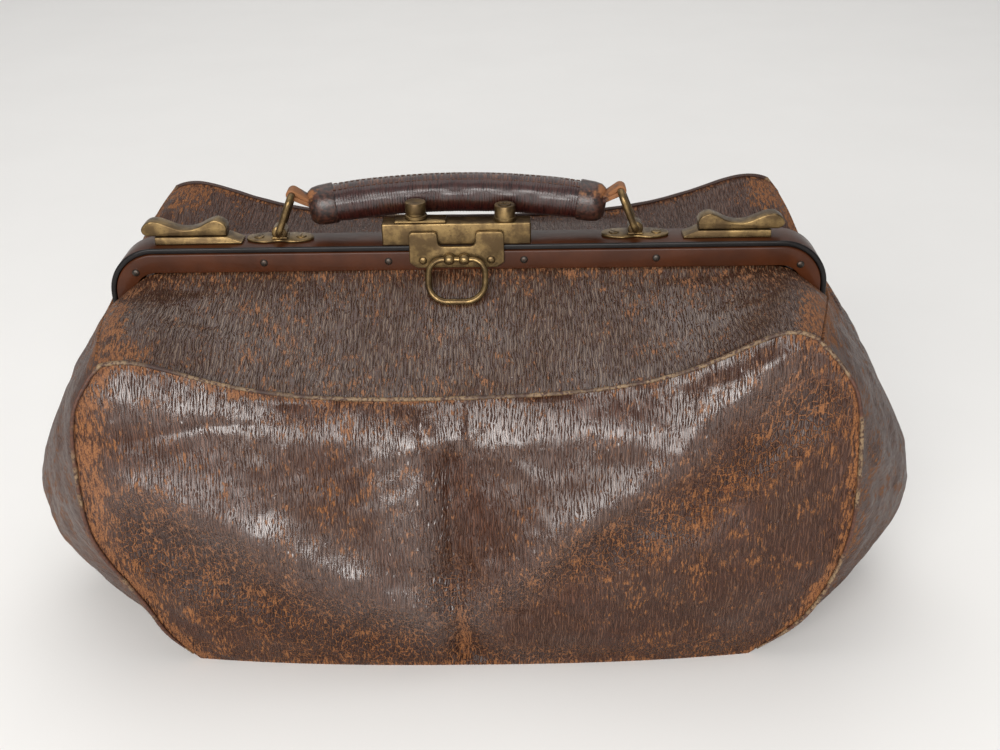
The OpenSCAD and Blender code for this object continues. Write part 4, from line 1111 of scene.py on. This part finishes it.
def strap_line(end, bar, root):
    """The way of a chape's strap: from the top of the roll's end round the ring's bar and back under."""
    high, low = (root + np.array([-end, -1, up]) for up in (3.6, -0.4))
    turns = [mix(STRAP_FROM, STRAP_TO, t) for t in np.linspace(0, 1, 22)]
    arc = [bar + STRAP_HOLD * np.array([end * math.cos(turn), 0, math.sin(turn)]) for turn in turns]
    out = [mix(high, arc[0], t) for t in (0, 0.35, 0.7)]
    back = [mix(arc[-1], low, t) for t in (0.35, 0.7, 1.0)]
    return np.array(out + arc + back)


def build_handle_loop(end):
    """The chape at one end of the roll: a collar over the roll that narrows to a folded strap,
    and the strap's open loop round the top bar of the ring."""
    bar = np.array([sizes().lock_x + end * LOOP_X, HANDLE_Y, sizes().frame_top + LOOP_RISE])
    root = grip_point(np.array(end * ARC_HALF))
    inward = unit(grip_point(np.array(end * ARC_HALF * 0.93)) - root)
    reach, less, flat = np.array(COLLAR).T[..., None]
    path = root + inward * reach
    collar = tube_rings(path, sizes().grip - less, 36)
    collar[..., 1] = mix(path[:, 1:2], collar[..., 1], flat)

    line = strap_line(end, bar, root)
    width = np.array([0, 1.0, 0])
    outward = unit(np.cross(unit(np.gradient(line, axis=0)), width)) * -end
    section = rectangle(-STRAP_HALF, 0, STRAP_HALF, STRAP_THICK, 0.7)
    strap, faces = joined_rings(np.array([[place + width * a + out * b for a, b in section]
                                          for place, out in zip(line, outward)]))
    if end == LEFT:
        faces = [face[::-1] for face in faces]
    mesh = gathered([joined_rings(collar), (strap, faces)])
    node = "handle_loop_" + END_NAMES[end]
    piece = add_object(node + "_leather", mesh, "loop_leather", "handle", node)
    from_bar = np.linalg.norm(mesh[0] - bar, axis=1)
    set_share(piece, "wear", 0.35 + 0.50 * smooth((17 - from_bar) / 11))


# Materials


class Value:
    """A node's output; plus, minus and times each add a math node."""

    def __init__(self, tree, socket):
        self.tree, self.socket = tree, socket

    def math(self, operation, other):
        """This value and another, or a number, in a math node."""
        return add_node(self.tree, "ShaderNodeMath", {0: self, 1: other}, operation=operation)

    def __add__(self, other):
        return self.math("ADD", other)

    def __sub__(self, other):
        return self.math("SUBTRACT", other)

    def __mul__(self, other):
        return self.math("MULTIPLY", other)


def add_node(tree, kind, inputs, output=0, **settings):
    """Adds a node, whose inputs are numbers, colours or values, and returns one of its outputs."""
    node = tree.nodes.new(kind)
    for key, value in settings.items():
        setattr(node, key, value)
    feed(tree, node, inputs)
    return Value(tree, node.outputs[output])


def feed(tree, node, inputs):
    """Links a value to each input, or sets a constant on it."""
    for key, value in inputs.items():
        if isinstance(value, Value):
            tree.links.new(value.socket, node.inputs[key])
        else:
            node.inputs[key].default_value = value


class Look:
    """A material under construction: its Principled shader and the nodes that feed it."""

    def __init__(self, name, inputs=None):
        material = bpy.data.materials.new(name + "_finish")
        material.use_nodes = True
        self.tree = material.node_tree
        self.place = self.add("ShaderNodeTexCoord", {}, "Object")
        self.uv = self.add("ShaderNodeTexCoord", {}, "UV")
        self.shade(inputs or {})

    def add(self, kind, inputs, output=0, **settings):
        """One more node of this material."""
        return add_node(self.tree, kind, inputs, output, **settings)

    def shade(self, inputs):
        """Sets or links inputs of the shader."""
        feed(self.tree, self.tree.nodes["Principled BSDF"], inputs)

    def stretched(self, place, scale):
        """A place in the texture, scaled alike or along each direction."""
        scale = scale if isinstance(scale, tuple) else (scale, scale, scale)
        return self.add("ShaderNodeMapping", {"Vector": place, "Scale": scale})

    def noise(self, place, scale, detail=3.0, roughness=0.55, distortion=0.0):
        """A noise texture."""
        return self.add("ShaderNodeTexNoise", {
            "Vector": self.stretched(place, scale), "Scale": 1.0, "Detail": detail, "Roughness": roughness,
            "Distortion": distortion})

    def wave(self, place, scale, distortion, detail_scale=1.0, detail_roughness=0.5, direction="X"):
        """A texture of bands."""
        return self.add("ShaderNodeTexWave", {
            "Vector": self.stretched(place, scale), "Scale": 1.0, "Distortion": distortion,
            "Detail": 2.0, "Detail Scale": detail_scale, "Detail Roughness": detail_roughness},
            "Fac", bands_direction=direction)

    def cell_edges(self, place, scale):
        """How far each place lies inside its cell of a pattern of cells, 0 on the borders."""
        return self.add("ShaderNodeTexVoronoi", {"Vector": self.stretched(place, scale), "Scale": 1.0},
                        "Distance", feature="DISTANCE_TO_EDGE")

    def between(self, value, low, high):
        """A smooth step of a value from 0 at low to 1 at high."""
        return self.add("ShaderNodeMapRange", {"Value": value, "From Min": low, "From Max": high},
                        interpolation_type="SMOOTHSTEP")

    def ranged(self, value, low, high):
        """A value from 0 to 1 stretched evenly from low to high."""
        return self.add("ShaderNodeMapRange", {"Value": value, "To Min": low, "To Max": high})

    def mixed(self, factor, a, b):
        """One colour mixed into another."""
        a, b = (tint if isinstance(tint, Value) else (*tint[:3], 1) for tint in (a, b))
        return self.add("ShaderNodeMix", {0: factor, 6: a, 7: b}, 2, data_type="RGBA")

    def share(self, name):
        """A share that the piece stores for its points; zero where it stores none."""
        return self.add("ShaderNodeAttribute", {}, "Fac", attribute_name=name)

    def bump(self, height, distance, strength=1.0, under=None):
        """Sends a height to the shader's normal, on top of another bump if there is one."""
        inputs = {"Height": height, "Distance": distance, "Strength": strength}
        if under:
            inputs["Normal"] = under
        normal = self.add("ShaderNodeBump", inputs)
        self.shade({"Normal": normal})
        return normal

    def bent_place(self):
        """The piece's texture place, bent aside by a coarse and a fine noise."""
        aside = self.noise(self.uv, (3, 2, 1), 1.0) * 0.05 + self.noise(self.uv, (26, 16, 1), 1.0) * 0.018
        shift = self.add("ShaderNodeCombineXYZ", {"X": aside})
        return self.add("ShaderNodeVectorMath", {0: self.uv, 1: shift}, operation="ADD")


def make_bag_leather():
    """Straight-grain leather. Long narrow cells that run down the panel are the ridges of the grain, with a
    polish on their tops and red-brown borders, darker partly as painted shade between the ridges; a wider
    net of cells is the crackling of the dark zones, with tan lines, and on the front these dark zones are
    also painted shade in the hollows, the middle valley and along the base;
    a dusty tint, partly a painted sheen, greys the ridge tops; and where the wear share and two noises add
    up, the bare tan leather shows."""
    tints, look = looks(), Look("bag_leather")
    place = look.bent_place()
    waves = look.wave(place, (20, 6, 1), 6.0, 1.2, 0.6)
    ridge = look.between(waves, 0.20, 0.56) * look.between(look.cell_edges(place, (56, 7, 1)), 0.0, 0.14)
    strand = look.noise(place, (100, 12, 1), 2.0, 0.5)
    pebble = look.noise(place, (150, 110, 1), 2.0)
    zone = look.noise(place, (1.6, 1.3, 1))
    blotch = look.noise(place, (9, 6, 1), 5.0, 0.65)
    fleck = look.noise(place, (75, 16, 1), 4.0, 0.7)
    lines = look.between(look.cell_edges(place, (36, 27, 1)), 0.095, 0.02)
    wear, crackle_and_shade, dust_and_sheen, polish = (look.share(name) for name in ("wear", "crackle_and_shade", "dust_and_sheen", "polish"))

    top = look.mixed(look.between(zone, 0.38, 0.62), tints.leather_ridge, tints.leather_red)
    # Dust and painted sheen: the dusty tint greys and lightens the ridge tops
    top = look.mixed(dust_and_sheen, top, tints.leather_dust_and_sheen)
    # Painted shade in the grain: the valleys take a darker colour than the ridges
    skin = look.mixed(ridge, tints.leather_valley, top)
    skin = look.mixed(look.between(strand, 0.50, 0.66) * 0.40, skin, tints.leather_dark)
    # Painted shade: this darkening lies in the hollows, the middle valley and along the base of the front,
    # and towards the bottom of the gussets; on the back it is patches of crackle
    skin = look.mixed(look.between(crackle_and_shade, 0.25, 0.95) * 0.75, skin, tints.leather_dark)
    cracked = lines * look.between(crackle_and_shade, 0.25, 0.7)
    bare = look.between(wear + (blotch - 0.5) * 1.5 + (fleck - 0.5) * 2.6, 0.58, 0.84)
    bare = bare.math("MAXIMUM", cracked * look.between(blotch, 0.25, 0.50))
    nap = look.between(pebble * 0.5 + fleck * 0.5, 0.42, 0.56)
    raw = look.mixed(nap, tints.leather_frayed, tints.leather_worn)
    rough = look.ranged(bare, 0.40, 0.88) + (zone - 0.5) * 0.30 - polish * 0.16 + crackle_and_shade * 0.12
    look.shade({"Base Color": look.mixed(bare, skin, raw), "Roughness": rough,
                "Specular IOR Level": look.ranged(polish, 0.35, 1.0)})
    grain = look.bump((ridge + strand * 0.3) * look.ranged(bare, 1.0, 0.35), 0.00060)
    look.bump(pebble * 0.6 - cracked, 0.00018, 0.9, grain)


def make_handle_leather():
    """Polished dark leather with fine scratches, redder where the hand has rubbed it."""
    tints, look = looks(), Look("handle_leather", {"Coat Weight": 0.35, "Coat Roughness": 0.16})
    cross = look.noise(look.uv, (150, 16, 1), 4.0, 0.6, 0.4)
    zone = look.noise(look.uv, (6, 4, 1), 2.0)
    rubbed = look.mixed(look.between(zone, 0.45, 0.70), tints.grip, (0.040, 0.012, 0.007))
    dark = look.mixed(look.between(cross, 0.38, 0.55), (0.008, 0.003, 0.003), rubbed)
    worn = look.mixed(look.share("wear") * look.between(cross, 0.50, 0.66), dark, tints.leather_worn)
    look.shade({"Base Color": worn, "Roughness": look.ranged(cross, 0.20, 0.46)})
    look.bump(cross, 0.00035, 0.7)


def make_loop_leather():
    """The chapes: dark dried leather with tan worn rims and small cracks."""
    look = Look("loop_leather")
    pits = look.noise(look.place, 420.0, 4.0, 0.65)
    patch = look.noise(look.place, 130.0, 3.0, 0.6)
    bare = look.between(look.share("wear") + (patch - 0.5) * 1.6, 0.52, 0.80)
    dark = look.mixed(look.between(pits, 0.4, 0.6), (0.010, 0.005, 0.004), (0.050, 0.018, 0.011))
    look.shade({"Base Color": look.mixed(bare, dark, looks().leather_worn),
                "Roughness": look.ranged(bare, 0.34, 0.75)})
    look.bump(pits, 0.00030, 0.8)


def make_piping():
    """The welt of the seams: dull dark leather with a paler rubbed crest."""
    tints, look = looks(), Look("piping", {"Roughness": 0.62})
    weave = look.noise(look.place, 700.0, 3.0, 0.6)
    rubbed = look.share("wear") + (look.noise(look.place, 60.0, 3.0, 0.6) - 0.5) * 1.4
    rim = look.mixed(look.between(rubbed, 0.80, 1.0), (0.190, 0.122, 0.062), tints.leather_frayed)
    base = look.mixed(look.between(rubbed, 0.35, 0.75), tints.leather_dark, rim)
    look.shade({"Base Color": look.mixed(look.between(weave, 0.45, 0.60), base, tints.leather_valley)})
    look.bump(weave, 0.00025, 0.8)


def make_thread():
    """Waxed brown thread."""
    look = Look("thread", {"Roughness": 0.45})
    twist = look.wave(look.place, 900.0, 1.5)
    look.shade({"Base Color": look.mixed(twist, (0.030, 0.012, 0.008), (0.110, 0.050, 0.026))})
    look.bump(twist, 0.0001, 0.6)


def make_paint(name, tint, roughness):
    """Old enamel: slightly uneven, chipped where the wear share and a noise meet, with brush marks."""
    look = Look(name, {"Coat Weight": 0.10, "Coat Roughness": 0.07, "Specular IOR Level": 0.15})
    patch = look.noise(look.place, 45.0, 4.0, 0.6)
    marks = look.noise(look.place, (120, 900, 900), 3.0, 0.6)
    chips = look.noise(look.place, 260.0, 5.0, 0.7)
    chipped = look.between(look.share("wear") + (chips - 0.5) * 1.6, 0.78, 0.86)
    painted = look.mixed(look.between(patch, 0.35, 0.75), tint, [min(1.0, 1.6 * part) for part in tint])
    look.shade({"Base Color": look.mixed(chipped, painted, (0.105, 0.075, 0.060)),
                "Roughness": look.ranged(marks, roughness - 0.06, roughness + 0.16)})
    look.bump(patch * 0.4 - chipped * 0.5, 0.0003, 0.6)


def make_brass():
    """Aged brass: dull yellow metal under brown patina, with pits and fine scratches."""
    tints, look = looks(), Look("brass", {"Metallic": 0.92})
    patch = look.noise(look.place, 95.0, 5.0, 0.62)
    pits = look.noise(look.place, 900.0, 3.0, 0.6)
    scratch = look.noise(look.place, (160, 1400, 1400), 3.0, 0.6)
    aged = look.mixed(look.between(patch, 0.36, 0.60), tints.brass, tints.patina)
    look.shade({"Base Color": look.mixed(look.between(pits, 0.60, 0.72), aged, (0.060, 0.040, 0.018)),
                "Roughness": patch * 0.30 + scratch * 0.26 + 0.08})
    look.bump(pits * 0.3 + scratch * 0.35, 0.00012, 0.8)


def make_steel():
    """Darkened steel with rust-brown spots."""
    look = Look("steel", {"Roughness": 0.4, "Metallic": 0.85})
    patch = look.noise(look.place, 300.0, 4.0, 0.6)
    rusty = look.mixed(look.between(patch, 0.50, 0.66), looks().steel, (0.060, 0.030, 0.018))
    look.shade({"Base Color": rusty})
    look.bump(patch, 0.0001, 0.7)


def make_cloth(name, tint, threads):
    """Plain drill: two crossed waves of threads, soiled in patches."""
    look = Look(name, {"Roughness": 0.9, "Sheen Weight": 0.25})
    weave = look.wave(look.place, threads, 0.6) * look.wave(look.place, threads, 0.6, direction="Z")
    dark = [0.45 * part for part in tint[:3]]
    cloth = look.mixed(look.between(look.noise(look.place, 14.0, 4.0, 0.6), 0.4, 0.7), tint, dark)
    look.shade({"Base Color": look.mixed(weave, dark, cloth)})
    look.bump(weave, 0.0003, 0.6)


def make_floor():
    """Plain pale sweep of paper with the faintest mottle."""
    look = Look("floor", {"Roughness": 0.75})
    paper = look.mixed(look.noise(look.place, 6.0), (0.80, 0.79, 0.77), (0.84, 0.83, 0.81))
    look.shade({"Base Color": paper})


# The inner CAD pieces that stay, and their materials
CARRIED_OVER = {
    "hinge_pin_left": "steel", "hinge_pin_right": "steel", "front_clamp_strip": "steel",
    "rear_clamp_strip": "steel", "lock_rivets": "brass", "lock_bolt": "steel",
    "bolt_spring": "steel", "catch_rivets": "steel", "handle_core": "board", "base_board": "board",
}


# The scene round the bag

CAMERA_PLACE = (0.02535, -0.66097, 0.47915)
CAMERA_PITCH, CAMERA_YAW, CAMERA_ROLL = math.radians(27.31), math.radians(0.70), math.radians(1.0)
CAMERA_LENS, CAMERA_SENSOR = 45, 36
LIGHT_COLOUR = (1.0, 0.985, 0.96)
WORLD_COLOUR, WORLD_STRENGTH = (0.95, 0.96, 1.0, 1), 0.36
# The floor runs flat from its near edge to the sweep, which curves up to a wall, in metres
FLOOR_NEAR, SWEEP_START, SWEEP_RADIUS, WALL_TOP, FLOOR_HALF = -3, 2.6, 1.2, 3.0, 4


def build_camera():
    """The camera at the angle of the photograph: pitch down, a small yaw and a small roll."""
    up = np.array([0, 0, 1])
    right = np.array([math.cos(CAMERA_YAW), math.sin(CAMERA_YAW), 0])
    level = np.cross(up, right)
    ahead = math.cos(CAMERA_PITCH) * level - math.sin(CAMERA_PITCH) * up
    above = math.sin(CAMERA_PITCH) * level + math.cos(CAMERA_PITCH) * up
    c, s = math.cos(CAMERA_ROLL), math.sin(CAMERA_ROLL)
    axes = np.column_stack([c * right - s * above, s * right + c * above, -ahead])
    data = bpy.data.cameras.new("camera")
    data.lens, data.sensor_width, data.clip_start = CAMERA_LENS, CAMERA_SENSOR, 0.01
    camera = bpy.data.objects.new("camera", data)
    camera.matrix_world = Matrix.Translation(CAMERA_PLACE) @ Matrix(axes.tolist()).to_4x4()
    bpy.context.scene.collection.objects.link(camera)
    bpy.context.scene.camera = camera


def build_light(name, place, target, width, height, power):
    """A soft rectangular light that faces a point."""
    data = bpy.data.lights.new(name, "AREA")
    data.shape = "RECTANGLE"
    data.size, data.size_y, data.energy, data.color = width, height, power, LIGHT_COLOUR
    light = bpy.data.objects.new(name, data)
    light.location = place
    light.rotation_euler = (Vector(target) - Vector(place)).to_track_quat("-Z", "Y").to_euler()
    bpy.context.scene.collection.objects.link(light)


def build_floor():
    """A pale sweep: flat under the bag and curved up far behind it."""
    run = [(y, 0) for y in np.linspace(FLOOR_NEAR, SWEEP_START, 12)]
    run += [(SWEEP_START + SWEEP_RADIUS * math.sin(a), SWEEP_RADIUS * (1 - math.cos(a)))
            for a in np.linspace(0, math.pi / 2, 12)[1:]]
    run.append((SWEEP_START + SWEEP_RADIUS, WALL_TOP))
    points = np.array([(x, y, z) for x in (-FLOOR_HALF, FLOOR_HALF) for y, z in run]) / MM
    count = len(run)
    faces = [[k, k + count, k + count + 1, k + 1] for k in range(count - 1)]
    add_object("floor", (points, faces), "floor")


def build_world():
    """Even pale surroundings."""
    world = bpy.data.worlds.new("studio")
    world.use_nodes = True
    background = world.node_tree.nodes["Background"]
    background.inputs["Color"].default_value = WORLD_COLOUR
    background.inputs["Strength"].default_value = WORLD_STRENGTH
    bpy.context.scene.world = world
    bpy.context.scene.view_settings.view_transform = "Standard"


# Operators


class BAG_OT_materials(bpy.types.Operator):
    """Makes every material of the bag."""

    bl_idname = "bag.materials"
    bl_label = "Make the materials"

    def execute(self, context):
        for make in (make_bag_leather, make_handle_leather, make_loop_leather, make_piping, make_thread,
                     make_brass, make_steel, make_floor):
            make()
        make_paint("frame_paint", looks().paint, 0.30)
        # Near-black enamel that paints the shade along the fixed jaw's edge
        make_paint("frame_rim_shade", looks().rim, 0.26)
        make_cloth("lining", looks().cloth, 420.0)
        make_cloth("board", (0.200, 0.140, 0.085), 260.0)
        return {"FINISHED"}


class BAG_OT_leather(bpy.types.Operator):
    """Builds the leather panels, the gussets, the bottom, the lining and the piping."""

    bl_idname = "bag.leather"
    bl_label = "Build the leather body"

    def execute(self, context):
        build_front_lower()
        build_back_lower()
        build_front_upper()
        build_back_upper()
        for end in (LEFT, RIGHT):
            build_gusset(end, FRONT)
            build_gusset(end, BACK)
        build_bottom()
        for side in (FRONT, BACK):
            build_lining(side)
            build_piping(side)
        return {"FINISHED"}


class BAG_OT_frame(bpy.types.Operator):
    """Builds the two painted jaws and their rivets."""

    bl_idname = "bag.frame"
    bl_label = "Build the frame"

    def execute(self, context):
        build_rear_jaw()
        build_front_jaw()
        build_frame_rivets(FRONT)
        build_frame_rivets(BACK)
        return {"FINISHED"}


class BAG_OT_lock(bpy.types.Operator):
    """Builds the lock, its hasp plate and the drop ring."""

    bl_idname = "bag.lock"
    bl_label = "Build the lock"

    def execute(self, context):
        for build in (build_lock_case, build_slide_base, build_slide_button, build_key_collar,
                      build_key_plug, build_hasp_plate, build_hasp_rivets, build_drop_ring):
            build()
        return {"FINISHED"}


class BAG_OT_catches(bpy.types.Operator):
    """Builds the two sliding catches."""

    bl_idname = "bag.catches"
    bl_label = "Build the catches"

    def execute(self, context):
        for end in (LEFT, RIGHT):
            build_catch_base(end)
            build_catch_slide(end)
        return {"FINISHED"}


class BAG_OT_handle(bpy.types.Operator):
    """Builds the handle, its rings and its plates."""

    bl_idname = "bag.handle"
    bl_label = "Build the handle"

    def execute(self, context):
        build_handle_screws()
        build_handle_cover()
        build_handle_stitches()
        for end in (LEFT, RIGHT):
            build_handle_plate(end)
            build_handle_ring(end)
            build_handle_loop(end)
        return {"FINISHED"}


class BAG_OT_carried_over(bpy.types.Operator):
    """Gives the inner CAD pieces that stay their materials."""

    bl_idname = "bag.carried_over"
    bl_label = "Finish the inner pieces"

    def execute(self, context):
        for name, material in CARRIED_OVER.items():
            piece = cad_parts[name]
            piece.data.materials.clear()
            piece.data.materials.append(finish(material))
        return {"FINISHED"}


class BAG_OT_stage(bpy.types.Operator):
    """Builds the floor, the lights and the camera."""

    bl_idname = "bag.stage"
    bl_label = "Build the stage"

    def execute(self, context):
        build_floor()
        build_world()
        build_light("overhead", (-0.10, 1.1, 2.4), (0, 1.1, 0.1), 3.4, 2.8, 38)
        build_light("window", (-0.35, -2.2, 1.05), (0, 0, 0.12), 2.2, 1.3, 76)
        build_camera()
        return {"FINISHED"}


class BAG_PT_panel(bpy.types.Panel):
    """The bag's sizes, colours and build steps."""

    bl_idname = "BAG_PT_panel"
    bl_label = "Gladstone bag"
    bl_space_type = "VIEW_3D"
    bl_region_type = "UI"
    bl_category = "Bag"

    def draw(self, context):
        for group in (context.scene.bag_sizes, context.scene.bag_looks):
            for name in group.__annotations__:
                self.layout.prop(group, name)
        for step in STEPS:
            self.layout.operator(step.bl_idname)


STEPS = (BAG_OT_materials, BAG_OT_leather, BAG_OT_frame, BAG_OT_lock, BAG_OT_catches,
         BAG_OT_handle, BAG_OT_carried_over, BAG_OT_stage)
CLASSES = (BagSizes, BagLooks) + STEPS + (BAG_PT_panel,)


def register():
    """Registers the classes and hangs the property groups on the scene."""
    for kind in CLASSES:
        bpy.utils.register_class(kind)
    bpy.types.Scene.bag_sizes = bpy.props.PointerProperty(type=BagSizes)
    bpy.types.Scene.bag_looks = bpy.props.PointerProperty(type=BagLooks)


def unregister():
    """Takes away what register() added."""
    del bpy.types.Scene.bag_looks
    del bpy.types.Scene.bag_sizes
    for kind in reversed(CLASSES):
        bpy.utils.unregister_class(kind)


def main():
    """Runs every build step in order."""
    register()
    for step in STEPS:
        group, name = step.bl_idname.split(".")
        getattr(getattr(bpy.ops, group), name)()


if __name__ == "__main__":
    main()
